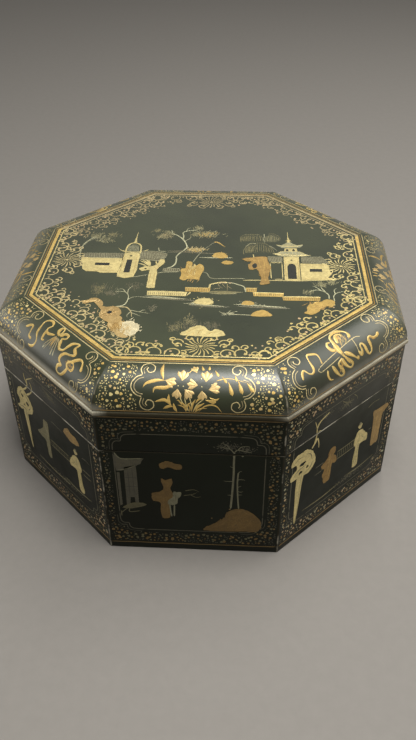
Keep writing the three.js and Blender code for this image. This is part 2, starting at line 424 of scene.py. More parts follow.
lid_lacquer = lacquer_material(
    "lid_lacquer", deep=(0.010, 0.015, 0.005), hazy=(0.026, 0.033, 0.012), rubbed=(0.045, 0.031, 0.014),
    bare_and_highlight=(0.60, 0.54, 0.40), roughness=0.34, coat=0.85, gloss=0.22,
)
# The walls' lacquer is a darker, greener copy of the lid's: painted shade for the walls that the light leaves
# dark.
shaded_wall_lacquer = lacquer_material(
    "shaded_wall_lacquer", deep=(0.003, 0.008, 0.005), hazy=(0.009, 0.018, 0.011), rubbed=(0.050, 0.038, 0.022),
    bare_and_highlight=(0.72, 0.66, 0.52), roughness=0.38, coat=0.04, gloss=0.1,
)
inside_lacquer = lacquer_material(
    "inside_lacquer", deep=(0.008, 0.007, 0.006), hazy=(0.018, 0.014, 0.011), rubbed=(0.05, 0.035, 0.022),
    bare_and_highlight=(0.16, 0.11, 0.07), roughness=0.42, coat=0.1, gloss=0.35,
)

# %% [markdown]
# ## Boards with rounded mitres
#
# The CAD boards have sharp edges and a hair of glue between them. Real lacquer runs over the joints, so
# each board is replaced by one whose section has rounded arrises and whose ends curve to the mitre: the
# two boards at a corner meet in one smooth arc. A bevel on each board alone would leave a groove there.
# The surface is a section carried along the board. The two parameters are the place round the section,
# which gives an apothem and a height, and the place along the board, which gives x and how far the
# corner's arc has drawn the apothem in.

# %% Sections and boards
ARC_POINTS = 5


def rounded_section(corner_points, radii, steps=ARC_POINTS):
    """A closed section of [apothem, height] with an arc at each corner, in order round the section."""
    points = np.asarray(corner_points, float)
    ahead = np.roll(points, -1, 0) - points
    behind = np.roll(points, 1, 0) - points
    ahead /= np.linalg.norm(ahead, axis=1, keepdims=True)
    behind /= np.linalg.norm(behind, axis=1, keepdims=True)
    share = np.linspace(0, 1, steps)[:, None]
    section = []
    for point, before, after, radius in zip(points, behind, ahead, radii):
        half_angle = math.acos(np.clip(before @ after, -1, 1)) / 2
        reach = radius / math.tan(half_angle)
        centre = point + (before + after) / np.linalg.norm(before + after) * radius / math.sin(half_angle)
        first = point + before * reach - centre
        last = point + after * reach - centre
        sweep = math.pi - 2 * half_angle
        blend = (np.sin((1 - share) * sweep) * first + np.sin(share * sweep) * last) / math.sin(sweep)
        section.append(centre + blend)
    return np.concatenate(section)


CORNER_STEPS = 6
STRAIGHT_STEPS = 9
BOARD_SHARP = 50


def board_piece(name, section, corner_radii, turn, material):
    """A mitred board: rows along it and columns round its section.

    Along the straight part only x changes. In the last stretch at each end, x and the apothem follow an
    arc of the corner's radius, whose centre lies on the mitre, up to half a corner's turn. The mitred ends
    are flat, so that their normals don't darken the arris next to them.
    """
    sweep = np.linspace(0, HALF_CORNER, CORNER_STEPS)
    phase = np.concatenate([-sweep[::-1], np.zeros(STRAIGHT_STEPS - 2), sweep])[:, None]
    share = np.linspace(-1, 1, STRAIGHT_STEPS)
    share = np.pad(share, CORNER_STEPS - 1, mode="edge")[:, None]
    apothem = section[:, 0]
    x = share * (apothem - corner_radii) * CORNER_SLOPE + corner_radii * np.sin(phase)
    out = apothem - corner_radii + corner_radii * np.cos(phase)
    cosine, sine = math.cos(turn), math.sin(turn)
    height = np.broadcast_to(section[:, 1], x.shape)
    rings = np.stack([x * cosine + out * sine, x * sine - out * cosine, height], -1)
    return skin(name, rings, material, BOARD_SHARP)


# %% The eight walls, the lid's walls and the lining
WALL_ROUNDING = 0.9 * MM
EDGE_ROUNDING = 0.45
INSIDE_ROUNDING = 0.1 * MM
LINING_INSIDE, LINING_OUTSIDE, LINING_BOTTOM, LIP_TOP = board_box("lining_front")


def board_ring(prefix, box, radii, outside_radius, material, body):
    """Eight boards of one plain section, each standing for its own CAD node.

    The section runs anticlockwise with the apothem to the right and height up. Only the outer face is
    rounded in plan.
    """
    inner, outer, bottom, top = box
    corners = [(inner, bottom), (outer, bottom), (outer, top), (inner, top)]
    section = rounded_section(corners, np.array(radii) * MM)
    rounding = np.where(section[:, 0] > outer - 2 * EDGE_ROUNDING * MM, outside_radius, INSIDE_ROUNDING)
    for number, side in enumerate(SIDE_NAMES):
        piece = board_piece(f"{prefix}_{side}_board", section, rounding, number * 2 * HALF_CORNER, material)
        stand_for(piece, body, f"{prefix}_{side}")
    print(prefix, "section points:", len(section))


board_ring("body_wall", (WALL_INSIDE, WALL_APOTHEM, 0.0, SEAM), (0.2, 0.8, EDGE_ROUNDING, 0.2),
           WALL_ROUNDING, shaded_wall_lacquer, "box")
board_ring("lid_wall", (LID_WALL_INSIDE, WALL_APOTHEM, LID_BOTTOM, LID_WALL_TOP + 0.3 * MM),
           (0.2, EDGE_ROUNDING, 0.05, 0.05), WALL_ROUNDING, shaded_wall_lacquer, "lid")
board_ring("lining", (LINING_INSIDE, LINING_OUTSIDE, LINING_BOTTOM, LIP_TOP), (0.1, 0.1, 1.2, 0.6),
           INSIDE_ROUNDING, inside_lacquer, "box")

# %% [markdown]
# ## The cushion moulding and the flat top
#
# The lid's border swells like a cushion. Its section is a quarter of an ellipse that rises from a quirk
# above a small bead and ends level with the top, so the flat board and the cushion run together without
# a line. The eight lengths meet in soft mitred ridges.

# %% Cushion and top board
CUSHION_ROUNDING = 1.1 * MM
BEAD_ROUNDING = 0.75 * MM
TOP_REACH = PLATEAU_EDGE - 0.1 * MM


def cushion_curve(steps=48):
    """[apothem, height] down the cushion from the flat top to its foot: a quarter ellipse."""
    angle = np.linspace(math.pi / 2, 0, steps)
    apothem = PLATEAU_EDGE + CUSHION_WIDTH * np.cos(angle)
    height = CUSHION_FOOT + CUSHION_RISE * np.sin(angle)
    return np.stack([apothem, height], -1)


bead_corners = [(PLATEAU_EDGE, MOULDING_BOTTOM), (BEAD_APOTHEM, MOULDING_BOTTOM),
                (BEAD_APOTHEM, CUSHION_FOOT), (PLATEAU_EDGE, CUSHION_FOOT)]
bead = rounded_section(bead_corners, [0.05 * MM, BEAD_ROUNDING, BEAD_ROUNDING, 0.05 * MM], ARC_POINTS)
inner_edge = [(TOP_REACH, TOP), (TOP_REACH, TOP_UNDERSIDE)]
moulding = np.vstack([bead[:3 * ARC_POINTS], cushion_curve()[::-1], inner_edge])
rounding = np.where(moulding[:, 0] > PLATEAU_EDGE + 1.0 * MM, CUSHION_ROUNDING, INSIDE_ROUNDING)
for number, side in enumerate(SIDE_NAMES):
    cushion = board_piece(f"cushion_{side}", moulding, rounding, number * 2 * HALF_CORNER, lid_lacquer)
    stand_for(cushion, "lid", f"lid_moulding_{side}")

angle = (np.arange(SIDES) + 0.5) * 2 * HALF_CORNER - math.pi / 2
reach = TOP_REACH / math.cos(HALF_CORNER)
octagons = [np.stack([reach * np.cos(angle), reach * np.sin(angle), np.full(SIDES, height)], -1)
            for height in (TOP_UNDERSIDE, TOP)]
top_board = skin("lid_top", np.array(octagons), lid_lacquer)
stand_for(top_board, "lid", "lid_top_board")

# %% [markdown]
# ## Gold and a brush
#
# The painter draws in size varnish and dusts it with metal powder while it is tacky, so every line is a
# low ridge with a soft edge. A flat image would lie dead on the surface and smear when seen from the
# side. Here each stroke is a narrow strip of mesh that stands a tenth of a millimetre proud, with its
# edges sunk into the lacquer. The strip carries its powder's colour as an attribute, so one material
# serves the pale silver gold, the yellow gold and the bronze.

# %% Gold material
POWDERS = {
    "ink": (0.016, 0.018, 0.013), "dim": (0.165, 0.15, 0.09), "olive": (0.25, 0.22, 0.105),
    "silver": (0.43, 0.41, 0.25), "moon": (0.62, 0.6, 0.37), "bone": (0.8, 0.7, 0.44),
    "ochre": (0.5, 0.34, 0.13), "sand": (0.64, 0.455, 0.19), "leafy": (0.33, 0.3, 0.155),
    "pale": (0.74, 0.61, 0.265), "cream": (0.62, 0.5, 0.24), "faded": (0.44, 0.35, 0.18),
    "gold": (0.6, 0.4, 0.115), "bright": (0.72, 0.5, 0.15), "bronze": (0.43, 0.27, 0.085),
    "rose": (0.62, 0.44, 0.24), "vine": (0.68, 0.54, 0.21), "umber": (0.33, 0.19, 0.04),
}

# Metal powder in varnish: the tint attribute, broken where it is rubbed and speckled by single grains.
gold_paint, made, shader, place = start_material("gold_paint")
tint = made.node("ShaderNodeAttribute", attribute_name="tint").outputs["Color"]
fine = made.noise(place, 2600.0, 2.0, 0.7)
grains = made.ramp(fine, 0.25, 0.75, 0.72, 1.18)
drift = made.ramp(made.noise(place, 70.0, 3.0, 0.5), 0.3, 0.7, 0.84, 1.08)
touches = made.ramp(made.noise(place, 420.0, 3.0, 0.6), 0.3, 0.7, 0.80, 1.14)
values = {0: tint, "Scale": made.times(grains, drift, touches)}
bright = made.node("ShaderNodeVectorMath", values, operation="SCALE").outputs["Vector"]
patches = made.noise(place, 320.0, 5.0, 0.7)
rubbed = made.ramp(patches, 0.60, 0.72, 0.0, 0.55)
made.feed(shader["Base Color"], made.mix(rubbed, bright, colour(0.05, 0.045, 0.03)))
shine = made.node("ShaderNodeRGBToBW", {"Color": tint}).outputs["Val"]
made.feed(shader["Metallic"], made.ramp(shine, 0.02, 0.12, 0.0, 0.4))
made.feed(shader["Roughness"], made.ramp(patches, 0.3, 0.7, 0.3, 0.5))
relief = made.math("ADD", fine, made.times(patches, 0.5))
made.feed(shader["Normal"], made.bump(relief, 0.3, 0.00005))

# %% [markdown]
# A brush line is a smooth curve through a few chosen points, and a width that changes along it. The curve
# is the cubic that passes through each point in the direction of its two neighbours. A few kinds of touch
# are enough for the whole box: an even line, a line that fades, a leaf, a drop, a ribbon that swells and
# thins, and a filled patch.


# %% Curves and widths
def spots(text):
    """Points from text such as "0 0, 4 2", in millimetres; "round x y width height" is a ring about x, y."""
    if text.split()[0] == "round":
        x, y, width, height = map(float, text.split()[1:])
        angle = np.arange(8) * math.pi / 4
        return np.stack([x + width * np.cos(angle), y + height * np.sin(angle)], -1)
    return np.array([pair.split() for pair in text.split(",")], float)


def smooth(points, steps=6, closed=False):
    """A curve through all the points, each stretch a cubic in the direction of the points either side."""
    knots = np.asarray(points, float)
    if len(knots) < 3 and not closed:
        share = np.linspace(0, 1, steps + 1)[:, None]
        return knots[0] + (knots[-1] - knots[0]) * share
    if closed:
        start, end = knots, np.roll(knots, -1, 0)
        before, after = np.roll(knots, 1, 0), np.roll(knots, -2, 0)
    else:
        start, end = knots[:-1], knots[1:]
        before = np.vstack([2 * knots[0] - knots[1], knots[:-2]])
        after = np.vstack([knots[2:], 2 * knots[-1] - knots[-2]])
    share = np.linspace(0, 1, steps, endpoint=False)[None, :, None]
    before, start, end, after = (part[:, None, :] for part in (before, start, end, after))
    curve = start + 0.5 * share * (end - before + share * (2 * before - 5 * start + 4 * end - after
                                                           + share * (3 * start - before - 3 * end + after)))
    curve = curve.reshape(-1, 2)
    return curve if closed else np.vstack([curve, knots[-1:]])


def running_length(path):
    """The distance along a path at each of its points."""
    return np.concatenate([[0], np.cumsum(np.linalg.norm(np.diff(path, axis=0), axis=1))])


def spiral(start, heading, size, turns):
    """A curl: its heading turns steadily while its radius shrinks to a quarter. Positive turns go left."""
    share = np.linspace(0, 1, max(8, int(abs(turns) * 22)))
    direction = math.radians(heading) + turns * 2 * math.pi * share
    stride = size * (1 - 0.75 * share) * abs(turns) * 2 * math.pi / (len(share) - 1)
    moves = np.stack([np.cos(direction), np.sin(direction)], -1) * stride[:, None]
    return np.asarray(start, float) + np.vstack([[0, 0], np.cumsum(moves, 0)[:-1]])


def touch_width(kind, share, length, width):
    """The half width of a stroke at each share of its length."""
    half = width / 2
    end_reach = np.minimum(share, 1 - share) * length / half
    rounded = np.sqrt(np.clip(end_reach * (2 - end_reach), 0, 1)) * (end_reach < 1) + (end_reach >= 1)
    kinds = {
        "line": rounded,
        "fade": rounded * (1 - 0.7 * share),
        "leaf": np.sin(math.pi * share) ** 0.8,
        "ribbon": rounded * (0.8 + 0.3 * np.sin(length * share * 0.55)),
        "drop": 1.35 * share ** 0.9 * np.sqrt(np.clip(1 - share ** 5, 0, 1)),
    }
    return half * np.maximum(kinds[kind], 0.06)


# %% [markdown]
# ## Sheets of brush work
#
# All strokes of one face go into one mesh. The sheet gathers arrays of flat places, heights above the
# lacquer and colours. At the end a face's own function lays them all on the flat top, round the cushion
# or on a wall, and anything past the seam is cut off there, so that the lid can lift away. A picture of
# some hundred strokes is easier to read as rows of text than as calls, so the pictures are written so.

# %% Sheet of strokes
LIFT = 0.08
SINK = -0.03
LEVEL_STEP = 0.06
EDGE_WAVER = 0.16


class Sheet:
    """Brush work on one face, in millimetres of that face."""

    def __init__(self, brightness=1.0):
        self.brightness = brightness
        self.flat, self.lift, self.tint, self.quads, self.triangles = [], [], [], [], []
        self.total = 0
        self.level = 0
        self.at()

    def at(self, x=0.0, y=0.0, turn=0.0, scale=1.0, mirror=False):
        """Moves the pen: later strokes are turned, scaled, mirrored in x and then shifted to x, y."""
        cosine, sine = math.cos(math.radians(turn)), math.sin(math.radians(turn))
        flip = -1.0 if mirror else 1.0
        self.matrix = np.array([[cosine * flip, -sine], [sine * flip, cosine]]) * scale
        self.origin = np.array([x, y])
        return self

    def add(self, flat, lift, powder, quads=(), triangles=()):
        """Adds places, lifts and faces; a face that runs clockwise is turned over, so that all face up."""
        tint = np.asarray(POWDERS[powder] if isinstance(powder, str) else powder, float)
        placed = flat @ self.matrix.T + self.origin
        self.flat.append(placed)
        self.lift.append(np.asarray(lift) + self.level * LEVEL_STEP)
        self.tint.append(np.broadcast_to(tint, (len(flat), 3)))
        turned_over = 1 if np.linalg.det(self.matrix) > 0 else -1
        for faces, kept, size in ((quads, self.quads, 4), (triangles, self.triangles, 3)):
            faces = np.array(faces, int).reshape(-1, size)[:, ::turned_over]
            corner = placed[faces]
            after = np.roll(corner, -1, 1)
            area = (corner[:, :, 0] * after[:, :, 1] - after[:, :, 0] * corner[:, :, 1]).sum(1)
            clockwise = area < -1e-6
            faces[clockwise] = faces[clockwise][:, ::-1]
            kept.append(faces + self.total)
        self.total += len(flat)

    def stroke(self, powder, width, points, kind="line", steps=6, lift=LIFT):
        """A strip along a curve: rows follow the curve and columns cross it, with both edges sunk."""
        path = points if steps == 0 else smooth(points, steps)
        run = running_length(path)
        half = touch_width(kind, run / run[-1], run[-1], width)
        tangent = np.gradient(path, axis=0)
        tangent /= np.maximum(np.linalg.norm(tangent, axis=1, keepdims=True), 1e-9)
        normal = np.stack([-tangent[:, 1], tangent[:, 0]], -1)
        across = np.array([1.0, 0.0, -1.0]) if width < 1.2 else np.array([1.0, 0.6, 0.0, -0.6, -1.0])
        grid = path[:, None, :] + normal[:, None, :] * (half[:, None] * across)[:, :, None]
        rise = SINK + (lift - SINK) * np.sqrt(np.clip(1 - across ** 2, 0, 1))
        heights = np.broadcast_to(rise, grid.shape[:2])
        self.add(grid.reshape(-1, 2), heights.reshape(-1), powder, grid_quads(len(path), len(across)))

    def paint(self, text):
        """Brush work from rows of text: the kind of touch, its powder and numbers, a colon and the curves.

        Semicolons part the curves, and a row that starts with a space goes on from the one above. The row
        "level 2" lifts what follows above levels 0 and 1.
        """
        for row in text.strip().replace("\n ", "").splitlines():
            words, _, places = row.partition(":")
            kind, powder, *numbers = words.split()
            if kind == "level":
                self.level = int(powder)
                continue
            numbers = [float(number) for number in numbers]
            curves = [spots(curve) for curve in places.split(";")]
            if kind in KINDS:
                KINDS[kind](self, powder, curves, *numbers)
            else:
                for curve in curves:
                    self.stroke(powder, *numbers, curve, kind)

    def patch(self, powder, outlines, steps=3):
        """A filled shape with a smooth outline and perhaps holes, and a skirt down to the lacquer."""
        rings = [smooth(ring, int(steps), closed=True) for ring in outlines]
        if steps > 1:
            random = np.random.default_rng(len(rings[0]))
            rings = [ring + random.normal(0, EDGE_WAVER, ring.shape) for ring in rings]
        points = np.vstack(rings)
        starts = np.cumsum([0] + [len(ring) for ring in rings])
        numbers = [np.arange(first, last).tolist() for first, last in zip(starts[:-1], starts[1:])]
        found = delaunay_2d_cdt([Vector(p) for p in points.tolist()], [], numbers, 2, 1e-5)
        filled = np.array([tuple(p) for p in found[0]])
        triangles = np.array([face for face in found[2] if len(face) == 3])
        self.add(filled, np.full(len(filled), LIFT), powder, triangles=triangles)
        for ring in rings:
            area = np.sum(ring[:, 0] * np.roll(ring[:, 1], -1) - np.roll(ring[:, 0], -1) * ring[:, 1])
            if (area < 0) == (ring is rings[0]):
                ring = ring[::-1]
            wall = np.vstack([ring, ring])
            heights = np.concatenate([np.full(len(ring), LIFT), np.full(len(ring), SINK)])
            number = np.arange(len(ring))
            after = np.roll(number, -1)
            skirt = np.stack([number, number + len(ring), after + len(ring), after], -1)
            self.add(wall, heights, powder, skirt)

    def dots(self, powder, centres, radii, sides=6, lift=LIFT):
        """Many low domes at once, each a fan of a few triangles; powder may be one colour for each dot."""
        centres = np.asarray(centres, float).reshape(-1, 2)
        radii = np.broadcast_to(radii, len(centres))
        angle = np.arange(sides) * 2 * math.pi / sides + centres[:, :1] * 7
        uneven = 1 + 0.16 * np.sin(angle * 3 + centres.sum(1)[:, None] * 5)
        spokes = np.stack([np.cos(angle), np.sin(angle)], -1) * (radii[:, None] * uneven)[:, :, None]
        rim = centres[:, None, :] + spokes
        flat = np.concatenate([centres[:, None, :], rim], 1).reshape(-1, 2)
        heights = np.tile(np.concatenate([[lift], np.full(sides, SINK)]), len(centres))
        number = np.arange(sides)
        fan = np.stack([np.zeros(sides, int), number + 1, (number + 1) % sides + 1], -1)
        triangles = (fan[None] + (np.arange(len(centres)) * (sides + 1))[:, None, None]).reshape(-1, 3)
        tint = np.asarray(POWDERS[powder] if isinstance(powder, str) else powder, float)
        if tint.ndim == 2:
            tint = np.repeat(tint, sides + 1, 0)
        self.add(flat, heights, tint, triangles=triangles)

    def domes(self, powder, curves, sides, *radii):
        """Dots at places, all of one radius or each of its own."""
        self.dots(powder, curves[0], radii, int(sides))

    def dust(self, powder, curves, count, size=0.3, seed=1):
        """Powder dusted softly through a stencil: grains crowd at a centre and thin out to the reach."""
        centre, reach = curves[0]
        count = int(count)
        random = np.random.default_rng(int(seed))
        grains = random.normal(0, 0.45, (count, 2)) * reach + centre
        self.dots(powder, grains, random.uniform(0.6, 1.3, count) * size, sides=5)

    def streaks(self, powder, curves, count, length, heading=90.0, seed=1, width=0.5):
        """Short brush marks round a centre, all roughly in one direction, for leaves, grass and rock."""
        centre, reach = curves[0]
        count = int(count)
        random = np.random.default_rng(int(seed))
        middles = random.normal(0, 0.45, (count, 2)) * reach + centre
        angles = np.radians(heading + random.normal(0, 22, count))
        halves = random.uniform(0.3, 0.65, count) * length
        moves = np.stack([np.cos(angles), np.sin(angles)], -1) * halves[:, None]
        for middle, move in zip(middles, moves):
            self.stroke(powder, width, [middle - move, middle + move], "leaf", steps=3, lift=LIFT * 0.8)

    def hatch(self, powder, edges, width, count, jitter=0.0):
        """Fine lines side by side, from one edge to another; each edge is a curve through its points."""
        random = np.random.default_rng(1)
        share = np.linspace(0, 1, int(count))
        ends = []
        for edge in edges:
            path = smooth(edge, 12)
            run = np.linspace(0, 1, len(path))
            ends.append(np.stack([np.interp(share, run, path[:, 0]), np.interp(share, run, path[:, 1])], -1))
        for start, end in zip(*ends):
            middle = (start + end) / 2 + random.normal(0, jitter, 2)
            self.stroke(powder, width, [start, middle, end], steps=2)

    def piece(self, name, lay, body, flip=False, below=np.inf, above=-np.inf, material=gold_paint,
              slot="gold_paint"):
        """One mesh of all strokes. lay turns places and lifts into metres; below and above cut it in v."""
        flat, quads, triangles = (np.concatenate(part) for part in (self.flat, self.quads, self.triangles))
        outside = (flat[:, 1] >= below) | (flat[:, 1] <= above)
        flat[:, 1] = np.clip(flat[:, 1], above, below)
        quads = quads[~outside[quads].all(1)]
        triangles = triangles[~outside[triangles].all(1)]
        used = np.unique(np.concatenate([quads.ravel(), triangles.ravel()]))
        renumber = np.zeros(len(flat), int)
        renumber[used] = np.arange(len(used))
        quads, triangles = renumber[quads], renumber[triangles]
        if flip:
            quads, triangles = quads[:, ::-1], triangles[:, ::-1]
        points = lay(flat[used, 0] * MM, flat[used, 1] * MM, np.concatenate(self.lift)[used] * MM)
        piece = new_piece(name, points, quads, triangles, material)
        tint = np.concatenate(self.tint)[used] * self.brightness
        tint = np.hstack([tint, np.ones((len(tint), 1))]).astype(np.float32)
        layer = piece.data.color_attributes.new("tint", "FLOAT_COLOR", "POINT")
        layer.data.foreach_set("color", tint.ravel())
        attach(piece, body)
        print(name, "has", len(quads) * 2 + len(triangles), "triangles")


KINDS = {kind.__name__: kind for kind in (Sheet.patch, Sheet.domes, Sheet.dust, Sheet.streaks, Sheet.hatch)}

# %% [markdown]
# Three functions lay flat brush work on the box. On the cushion, v is the distance down the curve from
# the flat top, so the strokes keep their length as they bend over the edge. That distance has no simple
# formula on an ellipse, so it is summed along the section and looked up.

# %% Laying brush work on the faces
cushion_line = cushion_curve(400)
cushion_run = running_length(cushion_line)
CUSHION_LENGTH = cushion_run[-1]
print("down the cushion in millimetres:", round(CUSHION_LENGTH / MM, 2))


def lay_on_top(u, v, lift):
    return np.stack([u, v, TOP + lift], -1)


def side_to_box(u, out, height, side):
    """From a side's own directions, along it and out from the middle, to the box's."""
    turn = side * 2 * HALF_CORNER
    x = u * math.cos(turn) + out * math.sin(turn)
    y = u * math.sin(turn) - out * math.cos(turn)
    return np.stack([x, y, height], -1)


def lay_on_cushion(side):
    """Places on a side's cushion: along it, down the curve, and out along the curve's normal."""

    def lay(u, v, lift):
        apothem = np.interp(v, cushion_run, cushion_line[:, 0])
        height = np.interp(v, cushion_run, cushion_line[:, 1])
        across = (apothem - PLATEAU_EDGE) / CUSHION_WIDTH ** 2
        upward = (height - CUSHION_FOOT) / CUSHION_RISE ** 2
        size = np.hypot(across, upward)
        return side_to_box(u, apothem + lift * across / size, height + lift * upward / size, side)

    return lay


# %% [markdown]
# ## The border of the flat top
#
# A broad gold band and thin pale lines run round the edge, and a vine of curls grows inwards from them.
# The painter repeats one curl by hand, turned over each time and never twice the same, with a flower in
# the middle of four sides. The curl is therefore written once, in millimetres from the line that it grows
# on, and the pen is moved along each side with a little seeded variation.

# %% Lines round the octagon
BAND_APOTHEM = 98.4
VINE_APOTHEM = 95.2
BACK_SIDES = (3, 4, 5)
TOP_BRIGHTNESS = 0.86


def octagon_band(sheet, powder, back_powder, width, apothem, uneven=0.06, steps=24, seed=4):
    """A closed band round the octagon, duller at the back. Its rows cross the band, and its width wavers."""
    random = np.random.default_rng(seed)
    corner = (np.arange(SIDES + 1) - 0.5) * 2 * HALF_CORNER - math.pi / 2
    share = np.linspace(0, 1, steps, endpoint=False)
    count = SIDES * steps
    waver = 1 + uneven * np.interp(np.arange(count) / 3, np.arange(count), random.normal(0, 1, count))
    rows = []
    for across in (1.0, 0.7, 0.0, -0.7, -1.0):
        reach = (apothem + across * width / 2 * waver) / math.cos(HALF_CORNER)
        x = np.outer(np.cos(corner[:-1]), 1 - share) + np.outer(np.cos(corner[1:]), share)
        y = np.outer(np.sin(corner[:-1]), 1 - share) + np.outer(np.sin(corner[1:]), share)
        rows.append(np.stack([x.ravel() * reach, y.ravel() * reach], -1))
    heights = np.repeat([SINK, LIFT * 0.7, LIFT, LIFT * 0.7, SINK], count)
    tints = np.array([POWDERS[back_powder if side in BACK_SIDES else powder] for side in range(SIDES)])
    tints = np.tile(np.repeat(tints, steps, axis=0), (len(rows), 1))
    sheet.add(np.concatenate(rows), heights, tints, grid_quads(len(rows), count, closed=True))


top = Sheet(brightness=TOP_BRIGHTNESS)
octagon_band(top, "bright", "faded", 2.2, BAND_APOTHEM)
octagon_band(top, "umber", "umber", 0.5, BAND_APOTHEM + 2.0, uneven=0.2, seed=6)
octagon_band(top, "pale", "faded", 0.65, VINE_APOTHEM + 0.4, uneven=0.12, seed=5)

# %% Curls of the vine
CURL_WIDTH = 0.95


def berry_curl(sheet, powder, start, heading, size, turns, width=CURL_WIDTH, berry=1.1):
    """A curl that ends in a berry."""
    path = spiral(start, heading, size, turns)
    sheet.stroke(powder, width, path, steps=0)
    sheet.dots(powder, path[-1:], berry, sides=8)
    return path


def vine_curl(sheet, powder, berry, random, rich=False):
    """One curl of the vine, growing up from the origin's line: a large C, small curls and berries."""
    vary = random.uniform(-1, 1, 9)
    size, turns = 5.1 + 0.5 * vary[1], 0.78 + 0.07 * vary[2]
    main = berry_curl(sheet, powder, (4.7, 0.1), 74 + 9 * vary[0], size, turns, berry=1.35)
    crest = main[len(main) // 3]
    berry_curl(sheet, powder, crest, 112 + 14 * vary[3], 2.6 + 0.4 * vary[4], -0.72, width=0.85)
    size = 2.2 + 0.3 * vary[6]
    berry_curl(sheet, powder, (-2.4, 0.3), 108 + 10 * vary[8], size, 0.66, width=0.85, berry=1.0)
    berries = [(-6.2 + vary[7], 2.6), (7.4, 2.6 + vary[1]), (-3.4, 9.4 + vary[5])]
    sheet.dots(berry, berries, [1.15, 1.0, 0.85], sides=8)
    if rich:
        berry_curl(sheet, powder, crest + (-2.0, 1.0), 70 + 20 * vary[1], 2.7, 0.7)
        sheet.dots(berry, [(1.4 + vary[3], 12.6)], 1.1, sides=8)


def vine_side(sheet, side, places, powder, random, richness, apothem=VINE_APOTHEM, scale=1.0):
    """Curls at places along one side of the octagon, turned over by turns."""
    turn = side * 45.0
    heading = math.radians(turn)
    for number, along in enumerate(places):
        x = along * math.cos(heading) + apothem * math.sin(heading)
        y = along * math.sin(heading) - apothem * math.cos(heading)
        size = random.uniform(0.9, 1.08) * scale
        sheet.at(x, y, turn + random.uniform(-4, 4), size, mirror=(number + side) % 2 == 1)
        vine_curl(sheet, powder, "rose" if number % 2 == 0 else powder, random, random.random() < richness)


random = np.random.default_rng(11)
BESIDE_FLOWER = [-39.0, -30.5, -21.5, 27.0, 36.5]
PLAIN_SIDE = [-37.0, -27.6, -18.4, -9.2, 0.0, 9.4, 18.6, 27.8, 37.0]
SECOND_ROW = [-30.0, -18.0, -6.0, 6.0, 18.0, 30.0]
SECOND_ROW_STEP = 9.4
SIDE_POWDERS = ["vine", "vine", "pale", "faded", "faded", "faded", "cream", "cream"]
for side, powder in enumerate(SIDE_POWDERS):
    places = BESIDE_FLOWER if side % 2 == 0 else PLAIN_SIDE
    vine_side(top, side, places, powder, random, 0.45)
    if side in (5, 7):
        vine_side(top, side, SECOND_ROW, powder, random, 0.0, VINE_APOTHEM - SECOND_ROW_STEP, 0.72)
top.at()

# %% [markdown]
# Four flowers break the vine, one on every other side. Each is a chrysanthemum seen full face among
# scrolls. A flower is a ring of drop-shaped petals about a middle, so one function draws it
# from the number of petals, their reach and the share of a circle that they cover.


# %% Flowers of the border
def petals(sheet, powder, count, inner, outer, width, first, bend, sweep=360.0):
    """Petals about the pen's place, from an inner to an outer radius, over a sweep of angle."""
    steps = count if sweep == 360 else count - 1
    radii = np.array([inner, (inner + outer) / 2, outer])
    for angle in np.radians(first + sweep * np.arange(count) / steps):
        turns = angle + np.radians([0, bend, 0])
        points = np.stack([radii * np.cos(turns), radii * np.sin(turns)], -1)
        sheet.stroke(powder, width, points, "drop", steps=4)


# Curls on one side of a flower: where each starts, its heading, size, turns and the size of its berry.
FLOWER_SCROLLS = [
    (3.2, 8.4, 50, 3.1, -0.95, 1.1), (10.4, -0.4, 100, 2.2, -0.9, 1.1), (21.5, -1.2, 100, 2.4, -0.85, 1.1),
    (9.4, 2.4, 82, 3.6, -0.95, 1.1), (13.8, 5.4, 84, 1.9, -0.85, 1.1), (18.4, -8.6, 82, 5.0, 0.95, 1.3),
    (10.2, -4.6, 150, 2.0, 0.8, 1.2), (6.0, -8.6, 60, 2.2, -0.8, 1.1),
]


def border_flower(sheet, powder, x, y, turn):
    """A chrysanthemum, its petals curling both ways, between scrolls that grow from the border's line."""
    sheet.at(x, y, turn)
    petals(sheet, powder, 9, 1.5, 9.2, 1.15, first=4, bend=9)
    petals(sheet, powder, 9, 1.5, 8.2, 1.1, first=24, bend=9)
    sheet.dots(powder, [(0, 0)], 1.5, sides=10)
    for side in (1, -1):
        sheet.at(x, y, turn, mirror=side < 0)
        for *start, heading, size, turns, berry in FLOWER_SCROLLS:
            berry_curl(sheet, powder, start, heading, size, turns, berry=berry)
        sheet.dots("rose", [(15.5, -5.0), (11.5, -7.6), (8.6, 6.6)], [1.0, 0.8, 0.8], sides=8)


BORDER_FLOWERS = [("vine", 3.8, -86.8, 0), ("faded", 1, 86.5, 180), ("cream", -85.5, 1, -90),
                  ("pale", 85.0, 0, 90)]
for powder, x, y, turn in BORDER_FLOWERS:
    border_flower(top, powder, x, y, turn)
for turn, powder, x in ((90, "pale", 84.0), (-90, "cream", -84.0)):
    top.at(x, 0, turn)
    petals(top, powder, 6, 6.5, 12.5, 1.3, first=55, sweep=70, bend=7)
top.at()

# %% [markdown]
# ## The garden on the flat top
#
# Two pavilions stand either side of a lake, with a bridge, fences, willows and garden rocks. The painter
# works in layers: first flat silhouettes in one powder, then fine lines drawn over them. Each layer of
# the sheet is lifted a little above the last, so that strokes never share one plane and flicker. All
# places are millimetres from the middle of the lid, x to the right and y away from the front.


# %% Roofs and fences
def roof(sheet, ground, curves, count):
    """A tiled roof from its outline, eaves and ridge: a dull ground, fine ribs and a line on both edges."""
    outline, *edges = curves
    powder = "pale" if ground == "silver" else "silver"
    sheet.level = 0
    sheet.patch(ground, [outline], 1)
    sheet.level = 1
    sheet.hatch(powder, edges, 0.5, count, 0.05)
    for edge in edges:
        sheet.stroke(powder, 0.6, edge)
    sheet.level = 0


